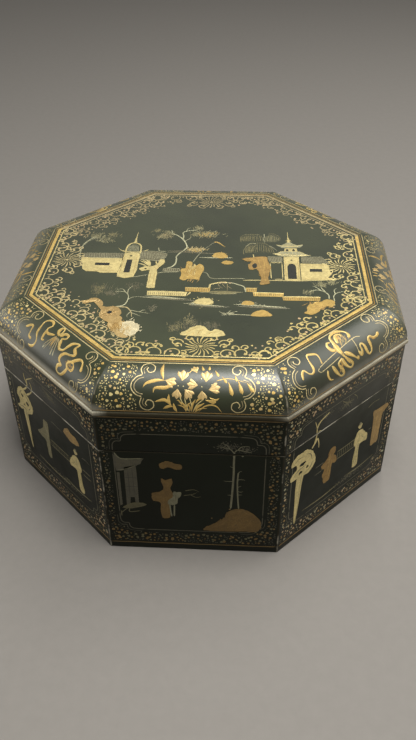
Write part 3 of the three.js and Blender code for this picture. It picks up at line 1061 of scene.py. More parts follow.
def fence(sheet, powder, curves, count, drop):
    """A railing seen as a band: a flat strip with a darker line at each post and a bright line above."""
    (x, y), (width, height) = curves[0]
    outline = [(x, y), (x + width, y + drop), (x + width - 0.4, y + drop - height), (x + 0.5, y - height)]
    sheet.patch(powder, [outline], 1)
    sheet.level = 1
    foot = [(x + 1.0, y - height + 0.3), (x + width - 1.0, y + drop - height + 0.3)]
    head = [(x + 1.0, y - 0.8), (x + width - 1.0, y + drop - 0.8)]
    sheet.hatch("dim", [foot, head], 0.5, count, 0.06)
    sheet.stroke("pale", 0.7, [(x, y - 0.3), (x + width, y + drop - 0.3)])
    sheet.level = 0


def leaves(sheet, powder, curves, count, seed):
    """Foliage: short brush marks that lean one way or the other, over a little dust."""
    sheet.streaks(powder, curves, count, 3.0, 75 + 40 * (seed % 2), seed)
    sheet.dust("dim", curves, count, 0.4, seed + 30)


KINDS.update(roof=roof, fence=fence, leaves=leaves)

# %% The left pavilion
top.paint("""
patch pale 1: -76 4, -50.5 4, -51.5 -13.5, -62 -14, -64.5 -12.5, -71 -12.5, -74 -9.5, -75 -3, -77 0
roof dim 24: -76.5 10, -50.5 10.5, -50.5 4.5, -75 4.5; -75 4.6, -51 4.6; -76.3 9.8, -51 10.3
patch pale 2: -50.5 10, -41 10, -40.5 0, -41 -18, -51.5 -18, -50.5 -5; -47 7.5, -46 8.6, -45 7.5,
  -46 6.4
level 1
patch ink 1: -67 -2, -58 -2, -58 -5, -67 -5
patch ink 1: -47.8 2.5, -44.5 2.5, -44.2 -13, -48 -13
line bronze 0.4: -49.8 8, -50.3 -16.5; -42 8.5, -41.8 -16.5; -76 2.6, -51.5 2.6; -72 -11, -62.5 -11.4,
  -52.4 -11.6
level 0
line pale 1.2: -50 11, -50.2 15, -49.8 20, -48.5 23, -46 24.5, -43 23.2, -41.2 20, -40.7 15, -40.8 11
hatch silver 0.5 9: -49 11, -42 11; -48.6 21.6, -46 23.4, -43 21.6
leaf pale 1.5: -55.4 17, -52.6 14, -49 12.6, -45.5 12.2, -42 12.4, -39 13.4, -36 16
line pale 0.9: -51.5 10.4, -46 11, -39.5 10.4
domes pale 9 1.5 1.2 0.8: -45.5 26, -45.5 28.2, -45.5 30
fade pale 1.1: -45.5 25, -45.5 32, -45.3 39.5
roof dim 18: -40 14, -30 13.5, -23.2 11, -24.2 5, -27 2, -40 3; -40 3.2, -33 2.6, -27 2.2, -24.4 5;
  -40 13.8, -35 13.8, -30 13.4, -23.4 10.8
line silver 0.9: -29.6 18.8, -29.2 15.6, -27.5 14.2, -24.5 14
line silver 0.8: -51 -18, -45 -18.2, -40 -17.5, -33 -15; -27 -13, -23 -11.5, -14 -11
roof dim 9: -24 -7, -14 -7, -14 -10.6, -24 -10.4; -24 -10.2, -14 -10.4; -24 -7.2, -14 -7.2
""")

# %% The scholar's rock and its leaves, left of the middle
top.paint("""
level 1
patch pale: -32.2 -10, -32.6 -16, -32 -24, -32 -29.5, -29.5 -30.4, -27 -29.4, -27.2 -22, -27.4 -14,
  -27.6 -8, -25.6 -4, -24.2 -1, -24.2 2.6, -26 4, -27.6 2.4, -27.6 -1, -29.6 -4, -32.6 -5.4, -35 -5.2,
  -38 -6.6, -38.6 -9, -36.6 -10.8; -35.4 -7.6, -34.4 -7.2, -34.4 -8.6, -35.6 -8.8
leaf pale 1: -33 -5, -36 -1, -40 2; -33.4 -4.6, -35 -0.5, -38.5 3; -33 -5, -34 0, -36.5 3.8; -32.4 -5,
  -33 -1, -34.5 3.2
leaf pale 1: -34 -5.6, -37 -3, -40.5 -1.5; -27 -4, -29 -1, -29.6 2
level 2
line bronze 0.4: -31 -12, -31.2 -28; -28.6 -12, -28.6 -28; -30 -6, -28 -8, -27 -3
level 0
""")

# %% The middle: tree, rock, reed and far hills
top.paint("""
line moon 1.15: -22 -6.8, -19 -4.8, -17.2 -1, -17 4, -17.3 8, -15.6 12, -13 16.4, -11.6 20, -12.6 25,
  -15 30.6, -17.4 34
fade moon 1.1: -15 31, -14.8 35, -15.6 39.4, -13.4 41.8, -10 43, -7 42.4, -4 40.4; -17 33.4, -19.6 36.4,
  -22 38.2, -23.6 43.4
fade silver 0.8: -20 36, -25 38.6; -13.6 41.6, -13 45, -11 47; -10 43, -6 45, -3 47; -22 38, -26 41,
  -28 42; -14 28, -11 31, -9.6 34.4
leaves leafy 60 40: -28 34, 6 3.4
leaves leafy 30 41: -25 39, 4 3
leaves olive 26 42: -33 42, 4 3
leaves leafy 40 43: -5 46.6, 3.4 3.6
leaves leafy 100 44: 1 38, 8 4.8
leaves gold 44 45: 1 38, 7 4.4
leaves faded 30 46: -27 35.6, 6 3.4
leaves leafy 40 47: -7 38, 4 3.5
leaves cream 90 48: -6 17.2, 7 2.8
leaves gold 50 49: -6 16.4, 6 2.4
leaves leafy 54 50: -72 33, 6 4
leaves leafy 54 51: -65 27, 6 3.5
leaves olive 44 52: -62 35, 5 4
leaves olive 54 53: -60 -33, 3.5 7
leaves dim 36 54: -52 -37, 5 3
leaves dim 30 55: -40 -28, 5 4
leaves dim 20 56: -26 -52, 3 4
leaves olive 50 57: -11 -70, 5 6
leaves olive 36 58: -4 -63, 4 6
leaves dim 30 59: 8 -67, 5 4
leaves leafy 26 60: 63 -31, 4 2.6
leaves leafy 34 61: 71 -22, 5 3.5
leaves leafy 30 62: 78 -19, 4 3
leaf dim 1.4: -24 13, -10 13.4, 14 12; -24 14.5, -14 15, -6 14.4
patch gold: -10.2 1, -8.4 1.8, -6.6 0.4, -6.4 -5, -4.4 -3.6, -2.2 -1, 0 -2.4, 1 -6, -0.4 -13,
  -1.6 -19.4, -5 -19, -8.6 -19.4, -10.6 -20.8, -13.2 -19, -12.4 -14, -13.4 -9.6, -12.4 -7, -10.4 -6
level 1
streaks bronze 34 4.5 80 20: -6.5 -10, 5 9
streaks pale 24 4 100 21 0.6: -5.5 -9, 5 9
line bronze 0.6: -8.6 -1, -8.8 -8, -10 -14; -3.5 -5, -5 -10, -4.4 -17
level 0
fade silver 0.8: -6.5 1, -4 9, 0 18, 6 28
fade gold 1.6: 5.5 27.5, 7.5 27.5, 9.5 25.6, 13 21
line silver 0.6: 0 -10, 3 -12, 6 -17.5, 16 -17.4, 26 -17
patch gold: 5.4 8.4, 5.8 11, 7 13.2, 10 13.8, 13 13, 14.6 10, 14.4 7.4, 10 6.6
streaks bright 30 3 90 70: 10 10.4, 5 3.6
streaks bronze 20 2.4 10 71: 10 9.4, 6 3
leaf silver 1.5: -3 7.2, 8 7.4, 18 7.6
patch gold: 11.2 1.4, 13 3.2, 16.4 3.4, 18.8 1.8, 17 -0.6, 13.4 -0.8
line silver 1: -78 3, -79 12, -78.5 22, -75 29, -72 33
fade silver 0.8: -75 29, -71 31, -68 28, -67 24; -78.6 20, -76 26, -72 29, -70 25
""")

# %% The right pavilion
top.paint("""
patch pale 1: 60 2, 76 2, 77.5 0, 77.5 -5, 78.5 -10, 76 -14, 80 -16, 60 -17.5
roof dim 17: 61 10.5, 74 11, 78 3, 61 2.5; 61.2 2.8, 77.6 3.2; 61.2 10.2, 73.8 10.8
patch pale 1: 50 10, 59.5 10, 59.5 -18, 50 -18; 54 6, 54.8 6.9, 55.6 6, 54.8 5.1
roof dim 9: 40 10, 49 10, 49 3.5, 41 3.5; 41.2 3.7, 48.8 3.7; 40.2 9.8, 48.8 9.8
line pale 0.8: 41.5 2.5, 41.8 -10, 42 -16.5; 48.8 3, 48.9 -17; 41.6 2.6, 48.6 2.6; 44 -17, 49 -17
roof silver 16: 43 14, 46 14.5, 49 17, 60 17, 64 14, 67 12.5, 62 11, 49 10.5; 44 13.4, 50 11, 60 11.2,
  65.6 12.4; 46.5 14.6, 49.5 16.8, 59.5 16.8, 63.4 14.2
patch pale 1: 50.5 17, 59 17, 58.6 21.2, 51 21.2
patch silver 2: 45.6 25.4, 48.6 24.8, 50.6 26.6, 53.8 28.8, 57 27, 59.2 25.4, 62.4 26.2, 61.6 23.6,
  59 22, 51 21, 48 22.6
level 1
patch ink 1: 65.5 -4.2, 73 -4.2, 73 -7.5, 65.5 -7.5
patch ink 1: 52 -16.5, 52 -2, 53 0.8, 54.7 1.6, 56.4 0.8, 57.3 -2, 57.3 -16.5
patch ink 1: 51.7 17.4, 51.7 19.2, 52.5 20.2, 53.3 19.2, 53.3 17.4
patch ink 1: 55.7 17.4, 55.7 19.2, 56.5 20.2, 57.3 19.2, 57.3 17.4
leaf pale 1.2: 45.4 25.6, 50 24, 54 23.6, 58 24, 62.6 26.2; 43 14.2, 47 13, 55 12.4, 62 12.4, 67.2 12.6
hatch pale 0.5 9: 49 22.6, 54 22, 59.4 22.8; 51 26.4, 54 28, 57.4 26.2
line bronze 0.4: 50.8 9, 50.9 -17; 58.7 9, 58.6 -17; 61 0.6, 76 0.6; 61 -15.6, 78 -14.4
level 0
domes pale 9 1.7 1.4 0.9: 53.7 29.8, 53.7 32.2, 53.6 34.2
fade pale 1: 53.7 29, 53.4 37, 53.3 43.5
leaf pale 0.9: 51.6 31, 53.6 31.4, 55.8 31
line pale 1: 25 -19, 36 -18.6, 47 -18.5, 62 -18, 81 -16
""")

# %% The bronze tree and the willows
top.paint("""
level 1
patch bronze: 24 6, 26.4 7.6, 29 8, 33 9, 39 9.6, 40 5, 41 0, 42 -4, 41.4 -8, 41 -11, 40.2 -17, 41 -22,
  38 -23.4, 35 -23.5, 36 -17, 34.5 -10, 33 -6, 30.4 -6.6, 28.5 -6, 28 -1, 29.6 1.4, 30 3, 28 3.4, 26 4
streaks umber 22 3 85 22: 37.4 -7, 3.6 12
streaks gold 14 2.6 70 23: 36.6 1, 4.4 6
level 2
patch ink: 30.6 -1, 32.2 1, 33.4 -1, 32.8 -4, 31 -4.6
line gold 0.5: 37 7, 38 0, 37.6 -8, 38.4 -20; 34 6, 35 0, 36 -6; 30 6.6, 32 3, 32.6 -2; 39.4 4, 39.8 -6;
  25.6 6, 29 6.6
level 0
line pale 0.8: 31 12.4, 31.2 10, 31.6 8
line olive 0.6: 25 12, 24.8 16, 25.5 20, 28 25.5, 34 27.5, 39 26.5, 43 20, 44.5 13
line olive 0.5: 41 40, 44 40.5, 48 36, 48 31; 30 15, 30 18, 30.5 20.5, 33 25; 23 28, 22.6 32, 23 36,
  27 39, 35 39
fade silver 1: 38 40, 38 36, 37.6 32, 38.4 28; 41 24, 44 21, 46.4 17; 33 26.4, 29 26.6, 25.6 21
hatch olive 0.45 22 0.35: 26 13, 30 14, 36 15, 43 14; 26 21, 29 25.5, 36 27, 42 22
hatch leafy 0.45 13 0.35: 38 29, 43 28, 47.6 30; 39 37, 43 40, 47.6 36
hatch olive 0.45 18 0.35: 22.6 29, 29 28.6, 37 29; 23.6 36, 29 39, 36 38.6
""")

# %% The bridge, fences and banks of the lake
top.paint("""
line pale 1.3: 5.3 -32, 5.4 -27, 6 -24.5, 9 -23, 12 -22, 16 -22
line moon 1: 16 -22, 19 -22.6, 22 -24, 25.4 -26, 26.4 -29, 26.8 -32.4
drop rose 1.6: 11 -23.4, 12.6 -21.4; 13.6 -23, 15 -21.2; 16.6 -23.2, 18 -22
fade faded 0.6: 10.4 -23.6, 11 -26, 13.4 -29; 12.6 -23, 14 -26.4, 15.4 -28; 15.8 -23, 16 -31.6; 16 -26,
  18.6 -29; 8 -29.6, 12 -28.4
leaf olive 2.2: 0 -33.6, 10 -32.6, 25 -32.6; 6 -34.6, 14 -34.2, 22 -34
fence gold 11 -0.2: -9 -28.4, 15 4.6
fence pale 19 -0.2: -31 -33.8, 23.5 4.2
fence gold 5 0: 26.8 -27.6, 6.6 4.4
fence bright 14 0: 31 -32.6, 18 4
fence gold 17 0.3: 48 -36.4, 22 4
level 1
fade pale 0.9: -31 -33.6, -20 -33.4, -8 -33.8; 31 -32.6, 40 -32.4, 49 -32.6; 48 -36.4, 60 -35.8, 70 -36
drop pale 1.2: -9.4 -38, -7.4 -34; -7.4 -37.6, -5.4 -33.6
level 0
leaf silver 1.2: -32 -38.6, -20 -39.6, -6 -41.4; -36 -39.8, -24 -40.6, -12 -41.2; -9 -45.8, 2 -46.8,
  15 -48; 20 -45.6, 34 -46.4, 50 -47.6
leaf dim 1.6: -30 -40.8, -16 -41.8, -3 -42.6; -6 -47.4, 6 -48.4, 18 -48.6; 22 -47.6, 36 -48, 52 -48.6
patch pale: -2.6 -45.4, -2 -42.6, 0 -40.6, 3 -39.8, 6.6 -40.6, 8.2 -42.6, 8.4 -44.8, 6 -46.6, 2 -46.8
dust pale 160 0.42 80: 2.6 -43.6, 6.5 4
dust silver 60 0.36 81: -2 -45.6, 4 1.8
patch gold: 24.6 -45.6, 25.6 -42.8, 28.6 -41.8, 31.2 -43, 32 -45.2, 29 -46.4
dust silver 130 0.4 82: 28.6 -44.6, 5.4 2.6
drop silver 1.3: 34 -47.6, 35.4 -45; 36.4 -47.6, 38 -45.2; 32 -47.4, 33 -45
fade silver 0.8: 14 -54.4, 16 -56, 13.4 -57; 16.4 -55.8, 18 -53, 19 -51.8; 17 -56, 20 -53.6, 22.6 -52.8;
  15.6 -56.6, 13 -54, 12 -52.6
line silver 0.9: 17 -56, 24 -56, 32 -56.4
dust silver 50 0.36 83: 18 -55, 3.4 1.8
patch gold 2: 30.6 -57.2, 31 -54.6, 33 -52, 36.4 -51, 39.6 -52.4, 41.4 -55, 41.2 -57
""")

# %% The foreground rocks
top.paint("""
level 1
patch ochre: -67 -45.4, -64 -44.8, -62.6 -42.8, -59.6 -42.4, -56.4 -44.6, -54.6 -48, -54.4 -50.6,
  -51.6 -51.6, -48.4 -50.6, -45.6 -51.6, -43.6 -54.2, -42.8 -57.4, -43.4 -60.6, -42.6 -63.6,
  -46.4 -66.4, -50 -65, -54 -62.6, -55 -58.6, -54.4 -55.6, -57.4 -50.4, -59.4 -47.2, -61.6 -46.6,
  -64.6 -48.6, -66.6 -47.6; -51 -56.6, -50 -55.4, -48.4 -55.8, -47.8 -57.4, -48.8 -58.8, -50.6 -58.4
level 1
patch sand: -50 -64, -46 -63.4, -40 -66, -38 -70, -38.6 -74, -37.6 -78, -35.6 -80.4, -40 -80.8,
  -43.6 -77, -46.4 -73, -49 -70.4, -48.6 -67
level 2
patch ochre: -52 -60.4, -49 -59.8, -44 -60, -41.4 -62.4, -41.8 -65.6, -44.6 -67.4, -48.6 -67,
  -51.6 -64.4
level 3
streaks bronze 50 4 110 92: -43.6 -70.6, 4 5
streaks bronze 24 3.4 40 93: -50 -58, 5.4 6
streaks sand 22 3.4 60 94: -51 -57, 6.4 6
streaks sand 14 3 20 97: -61 -45.6, 6 1.6
streaks sand 24 3 100 99: -47 -63.6, 4 3
patch bone: -40.6 -67, -38 -65.4, -35 -65.2, -33.6 -67.4, -31.4 -68.6, -30.8 -72, -31.6 -75.6,
  -33 -78.4, -36 -79.2, -38.4 -77.6, -38.8 -73.6, -40.4 -70
level 4
streaks sand 44 3.6 105 91: -38 -73, 3.4 6
streaks bone 40 3 60 98: -35 -71, 4.6 7
patch ink: -50.8 -57, -49.8 -55.9, -48.6 -56.2, -48.2 -57.6, -49.2 -58.6, -50.4 -58.2
dust bone 120 0.42 90: -37 -72, 5.4 6.6
level 0
fade moon 1.1: -47 -50.6, -44 -50, -41.8 -47.4, -41 -42, -41.6 -38, -43.4 -35.4, -46 -34.6, -50 -34.4
fade silver 1: -42.2 -36.6, -42 -32, -40 -28; -43.4 -35.4, -45.6 -32, -49 -32.6; -41.2 -43, -38.6 -40.6,
  -36 -40
fade cream 1.2: -47 -51, -41 -51.2, -38.5 -54, -37.2 -57, -36.4 -61
fade silver 0.9: -38.6 -54, -33 -55.6, -27 -57; -37.4 -56.6, -34 -58.4, -31.6 -60; -38 -56, -39.4 -59.6,
  -38.6 -61.4; -33 -55.6, -30 -53.4
level 1
patch gold: 60 -53, 62 -50.4, 61.6 -47.6, 62.8 -44.6, 65.6 -43.2, 67.6 -41.4, 70.6 -40.8, 72.6 -38.8,
  76 -38.6, 78 -41, 77.2 -44.4, 75.4 -46.6, 73 -45.6, 70.2 -47.4, 69 -50, 66.4 -53, 63.4 -54.6
level 2
streaks bronze 30 4.2 45 95: 68.6 -46.4, 6.4 4.6
streaks bright 20 3.6 50 96: 69 -45, 6 4
level 0
fade moon 1.1: 75 -37.6, 74.8 -33, 72 -29.4, 68 -28.2, 64 -30
fade moon 1: 78 -39.6, 77.8 -34.6, 80 -31, 84 -29; 73.4 -30, 71.4 -26, 71 -22.6; 71 -28.8, 68 -25,
  66 -24; 79 -32.4, 78.6 -28, 80 -26
patch pale: -7.6 -77, -7.2 -74.4, -5 -73, -3.6 -70.6, -1.6 -69.4, 1.4 -67.6, 4.4 -68.4, 6 -70.2,
  7.4 -72.4, 9.4 -72.2, 11 -70.6, 13.6 -71.8, 15.6 -74, 16.2 -76.4, 13 -77.8, 5 -78, -2 -77.6
level 1
line gold 0.6: -5 -75.6, -2 -72, 0.4 -70.4; 1.4 -76.4, 2.6 -72.6, 5 -71.4; 7 -76.4, 9 -74, 11.4 -73.6;
  -1.6 -76.6, -0.4 -74.4
level 0
""")

# Grass before the middle rock and reeds at the left, each blade leaning its own way.
random = np.random.default_rng(17)
for _ in range(46):
    foot = np.array([random.uniform(-14, 12), random.uniform(-75, -68)])
    lean = np.array([random.uniform(-2.5, 2.5), random.uniform(5, 9)])
    middle = foot + lean * 0.5 + random.normal(0, 0.3, 2)
    top.stroke("dim", 0.4, [foot, middle, foot + lean], "fade", steps=2)
for _ in range(26):
    foot = np.array([random.uniform(-66, -50), random.uniform(-40, -30)])
    top.stroke("dim", 0.4, [foot, foot + (random.uniform(-2, 2), 6)], "fade", steps=3)
top.piece("top_painting", lay_on_top, "lid")

# %% [markdown]
# ## The sprinkled ground
#
# Everything outside the pictures is sprinkled with gold: many small pale dots and a few large yellow
# ones, set down one by one. Random places would clump and leave holes, which a painter avoids. So the
# dots start on a grid and each is pushed about within its own cell, and small ones give way to large.

# %% Sprinkled dots
MITRE_MARGIN = 1.1


def scattered(random, u_range, v_range, pitch, push=0.42):
    """Places on a grid of a pitch, each pushed at random within its cell."""
    u, v = np.meshgrid(np.arange(*u_range, pitch), np.arange(*v_range, pitch))
    places = np.stack([u.ravel(), v.ravel()], -1) + pitch / 2
    return places + random.uniform(-push, push, places.shape) * pitch


def sprinkle(sheet, random, u_range, v_range, keep, small, large, powders, sizes):
    """Large dots, then small ones that keep clear of them. keep tells which places are on the ground."""
    big = scattered(random, u_range, v_range, large)
    big = big[keep(big[:, 0], big[:, 1], sizes[1])]
    radii = random.uniform(0.45, 1.05, len(big)) * sizes[1]
    little = scattered(random, u_range, v_range, small)
    little = little[keep(little[:, 0], little[:, 1], sizes[0])]
    gaps = np.linalg.norm(little[:, None, :] - big[None, :, :], axis=2) - radii[None, :]
    little = little[gaps.min(1) > sizes[0] + 0.15]
    colours = np.array([POWDERS[powder] for powder in powders])
    sheet.dots(colours[random.integers(1, len(colours), len(big))], big, radii, sides=8, lift=LIFT * 1.1)
    shades = colours[0] * random.uniform(0.6, 1.1, len(little))[:, None]
    sheet.dots(shades, little, random.uniform(0.6, 1.25, len(little)) * sizes[0], sides=6, lift=LIFT * 0.8)


# %% [markdown]
# ## Pictures on the cushion
#
# Each length of the cushion holds a long panel between two scrolled ends, with flowers, or a fan or a
# tassel tied up in ribbons. On the cushion v runs down the curve from the flat top.

# %% Scrolled ends, tulips and ribbons
PANEL_END = """
line cream 0.65: -5.6 9.6, -3 10.6, -0.8 13, 0 15.6, -0.8 18.2, -3 20.2, -5.6 21
line faded 0.55: -6.6 11, -4 11.8, -2.2 13.6, -1.6 15.6, -2.2 17.8, -4 19.2, -6.4 19.8
line cream 0.65: -5.6 9.6, -4.6 6.2, -6 3.4, -9 2.5, -11.6 4.4, -11.4 7.2, -9 8.2, -7.6 6.4, -8.4 5
line cream 0.65: -5.6 21.2, -4.6 24.6, -6 27.4, -9 28.3, -11.6 26.4, -11.4 23.6, -9 22.6, -7.6 24.4,
  -8.4 25.8
fade faded 0.55: -6.8 9.2, -6.1 6.2, -7.8 4.2; -6.8 21.6, -6.1 24.6, -7.8 26.6
"""


def tulip(sheet, powder, curves, heading, size):
    """An open flower seen from the side: a fan of broad petals from one point."""
    base = curves[0][0]
    for spread, reach, width in ((-27, 0.92, 0.42), (0, 1.0, 0.5), (27, 0.92, 0.42)):
        angle = math.radians(heading + spread)
        tip = base + size * reach * np.array([math.cos(angle), math.sin(angle)])
        sheet.stroke(powder, size * width, [base, tip], "drop", steps=5)


def ribbon(sheet, powder, curves, width):
    """A ribbon: a brush line that swells and thins, with a pale edge on the lit side."""
    for points in curves:
        sheet.stroke(powder, width, points, "ribbon")
        sheet.level = 1
        sheet.stroke("pale", width * 0.3, points - width * 0.16, "fade")
        sheet.level = 0


KINDS.update(tulip=tulip, ribbon=ribbon)

# %% Flowers, ribbons and a tassel
# A spray of tulips and long leaves.
FLOWER = """
leaf gold 2.1: -24 16.4, -22 14, -17 12.4, -12.6 12.4; -18.6 19, -17.6 16.4, -12 16, -7 13.6; -14 2.6,
  -14.6 7, -13.6 12
leaf gold 1.8: -17.6 23.4, -12.6 22.4, -9 25.4; -10.5 19.4, -10.6 22.6, -9.6 25.6; -13.4 27.2,
  -10.6 25.8, -8.6 26; -8.2 24, -7.6 26.6, -6.4 29
tulip sand 20 6: -12.6 12.2
tulip sand -86 6.2: -4 12.4
tulip sand -86 6.2: 8 12.6
tulip sand 188 5.6: 4 14.6
tulip sand -14 6: 9.6 16.6
tulip sand 96 5.2: -6.2 16.6
tulip sand 52 5.6: -2.4 16.8
tulip sand 86 5: 6.2 17.2
tulip sand -112 4.2: 3 7.6
leaf gold 1.2: 1 4, 2.6 5, 3.2 8; 10 20.6, 13 21.8, 15 20.8; 3 23.6, 4.6 21.6, 7 20.8
leaf gold 1.3: -2 28.6, -1 25, 0.6 23.4; 1 28.4, 1.4 24.6, 3 21.6; -0.6 28, -3 24.4, -4.6 23.4; 3 28.6,
  4 26, 7.6 23.4
leaf gold 0.9: -1.6 29, -3 26, -6 24.8; 0 29, 0.2 26, -1 23.6; 1.6 29, 3.4 25.6, 5.4 24; 2.4 29,
  5.6 26.6, 9 26.4
line pale 0.55: -5 20.6, -3.4 24, -1 28; 0 21, 1 25, 1 28.6; 6.4 22, 3.6 24.6, 2 28; -2.6 21, -1.6 25,
  -0.4 28.4
leaf gold 1.1: 4.6 28.4, 7.4 25.4, 11 24.4, 14 25.4, 16.4 28.6; -3.6 25, -5.4 22.6, -6.6 22.4
drop gold 2.6: 19.4 12.4, 21.6 19.4; 8 22, 13.4 23; 24.2 11.4, 26.6 18.4; 28.6 12.4, 32.4 17.4
drop gold 1.7: 16 9.4, 18.6 13; 12.4 6, 14.4 9.6; 22.6 8.6, 23.6 12; 5.6 3.2, 6.6 6.4; 9.6 3, 9.4 6
fade gold 0.7: 13 12, 18 10.6, 23 11, 29 12.6; -1 8, 1.4 5.6, 4 4.6
domes pale 6 0.38: -6 15, -3.4 15.2, -1 13.6, 0.4 11.4, 6 15.2, 11 14, 5.6 11
"""

# A fan on a rod, tied up in ribbons.
FAN = """
line cream 0.5: -21 15.6, -12 14, 9 11.4, 15 12.6; -21 18.2, -12 17.2, -5 16.2; -21 15.6, -22.4 16.8,
  -21 18.2
line cream 0.6: 8.6 11, 8.8 15, 8.6 19.4
streaks bronze 30 4 120 5: 2.6 8, 4.6 4
streaks olive 16 4 80 6: 2 8, 5 4
ribbon gold 1.5: -34 16.6, -32.6 13.6, -30.6 12.6, -28.6 15.4, -26.4 16.2, -24.6 14.4, -24 9.6,
  -22.6 6.4, -20 7, -17.4 8.6, -17.2 11, -18 14.6; -16.6 19, -17.6 22, -16.6 24.4, -14.4 25.4
ribbon gold 2.2: -3.6 12.4, -3.4 8.6, -2.6 5, 0 3.2, 3.4 2.7, 6.6 4.2, 8.6 6.4, 9 8.6, 7.6 9.8; -5 12.4,
  -7.4 10.8, -8 8, -6.4 6.4, -4.6 7; -1 9.6, 0.6 5.6, 3.4 5, 5 7
ribbon gold 3.4: -3.4 8.6, -3.6 12, -3 14.6, -2 18
ribbon gold 2.3: -12.6 18.4, -11.6 21.6, -10 24.4, -8 26.2, -6 25.6, -6.8 22.6, -8 19.4, -4 17.6;
  -4.4 17.4, -4 20.4, -2 23.4, 0.4 24.8, 1.8 23, -0.6 20, -2 17.2; -1 15.6, 2 17.8, 5 20.8, 6.8 22.6,
  7.2 21
ribbon gold 2: 8.6 19, 10 21.6, 11.2 20, 11.2 17.4, 12.6 16.2, 14 18, 14.6 21.6, 16 23.8, 18 23,
  18.6 20, 18.6 16.4, 20.6 15.2, 23 16.8, 25.4 17, 27.6 15.6
leaf bronze 1.4: -5 17, -6 21, -9 23.6; -2 18, 0 20.6, 0.6 23; 20 15.6, 23 17.4, 25.6 16.6
"""

# A tassel below a bow, with a long looped ribbon.
TASSEL = """
fade faded 0.9: 2.4 9, 0.2 13, -1.8 17; 2.8 9, 1.4 14, 0 18.6; 3.2 9, 2.6 14, 2.8 16; 3.6 9, 4 13,
  4.4 16.6; 4 9, 5.6 14, 6.2 18.8; 4.6 9, 7 13, 8.6 18.2; 5 9, 7.8 11.6, 9.6 13.6
leaf bronze 1.6: 2.6 8.6, 2 11, 1 13.4; 3.6 9, 3.4 12, 3.6 15
drop silver 1.1: 0 15.6, -1.6 18.4; 6.4 15.6, 6.4 19.2; 7.6 15, 8.8 18.8
ribbon gold 1.7: -21.6 15, -19 12.6, -17 12.2, -16.2 15, -15.6 17.8, -12.8 18.8; -13.4 22.4, -10.6 22,
  -8.6 20, -8.4 17.4, -11 13.8, -11.8 10, -12.4 6.4, -10.8 3.8, -8 3.4, -5.8 5.6, -6.6 8.6, -4 10.4,
  1 8.8; -6.4 9.4, -5.8 12.6, -5 15, -3 14.6
ribbon gold 2.1: 2.6 7.6, 0.6 5.4, 0.8 2.8, 2.6 3, 3.8 6, 2.6 8; 4.6 7.8, 5.8 4.8, 8.6 4.6, 9.2 6.8,
  6.6 8.2
ribbon gold 2.1: 7 8.4, 8.8 11.6, 10.6 13.2, 13.4 12.6, 14.4 9.6, 15.6 6.4, 19.6 4.8, 19.4 8, 22.6 10.6,
  20.4 12.2, 16.4 13.2, 14.4 15.6, 15 18, 18.6 19.6; 18.6 19.4, 15.6 20.6, 15.6 23.4, 18 24.6,
  20.8 23.4, 23 19.4, 21.6 17, 24 14.2, 26.4 12, 28.6 10.8, 31 11.8, 33.2 16
patch gold 2: 21 15.4, 24 14, 27.4 15.8, 28 18.4, 25.6 19, 21.6 18.4
level 1
streaks bronze 14 2 30 8: 24.6 16.6, 4 2.6
level 0
"""


# %% Lay the cushion's pictures
def ruled_line(sheet, random, powder, width, reach, height, waver, count):
    """A line along a whole side that wavers a little."""
    points = np.stack([np.linspace(-reach, reach, count), height + random.normal(0, waver, count)], -1)
    sheet.stroke(powder, width, points, steps=3)


CUSHION_PLAN = [
    (FLOWER, -30, 33, False), (FAN, -40, 36, False), (FLOWER, -33, 31, True), (TASSEL, -33, 39, False),
    (FLOWER, -31, 33, False), (FAN, -38, 36, False), (FLOWER, -33, 30, True), (TASSEL, -29, 40, False),
]
CUSHION_DOTS = ["pale", "gold", "bright", "pale", "sand"]
TOP_LINE = 1.7
PANEL_MIDDLE = 15.5
FOOT_BAND = CUSHION_LENGTH / MM - 0.9
HIDDEN_BRIGHTNESS = 0.7
for side, (picture, left, right, mirrored) in enumerate(CUSHION_PLAN):
    random = np.random.default_rng(200 + side)
    sheet = Sheet(brightness=HIDDEN_BRIGHTNESS if 2 <= side <= 6 else 1.0)
    reach = (PLATEAU_EDGE + 1.6 * MM) / MM * CORNER_SLOPE
    ruled_line(sheet, random, "cream", 0.7, reach, TOP_LINE, 0.05, 14)
    reach = CUSHION_OUTER / MM * CORNER_SLOPE
    sheet.stroke("bronze", 0.55, [(-reach, FOOT_BAND), (reach, FOOT_BAND)], steps=20)
    sheet.at(right).paint(PANEL_END)
    sheet.at(left, mirror=True).paint(PANEL_END)
    sheet.at(mirror=mirrored).paint(picture)
    sheet.at()

    def on_ground(u, v, radius):
        """Outside the panel's lobed ends, below the top line and clear of the mitres."""
        half = np.interp(v * MM, cushion_run, cushion_line[:, 0]) / MM * CORNER_SLOPE - MITRE_MARGIN - radius
        lobe = 4.4 * np.clip(1 - ((v - PANEL_MIDDLE) / 6.0) ** 2, 0, 1) - 3.2 + radius
        outside = (u > right + lobe) | (u < left - lobe)
        between = (v > TOP_LINE + 0.8 + radius) & (v < CUSHION_LENGTH / MM - 1.4 - radius)
        return outside & between & (np.abs(u) < half)

    sprinkle(sheet, random, (-50, 50), (0, 31), on_ground, 1.2, 3.5, CUSHION_DOTS, sizes=(0.46, 1.4))
    sheet.piece(f"cushion_{SIDE_NAMES[side]}_painting", lay_on_cushion(side), "lid", flip=True)

# %% [markdown]
# ## Panels on the sides
#
# Every side has one tall panel that runs across the seam from the box to the lid. It is painted as one
# sheet, and the sheet is then laid twice, once for each body, each time cut off at the seam. The garden
# figures are plain silhouettes without faces, as small as a finger joint. The front's sheet is dimmer and
# its dots darker: painted shade, for the front that the light from above leaves dark.

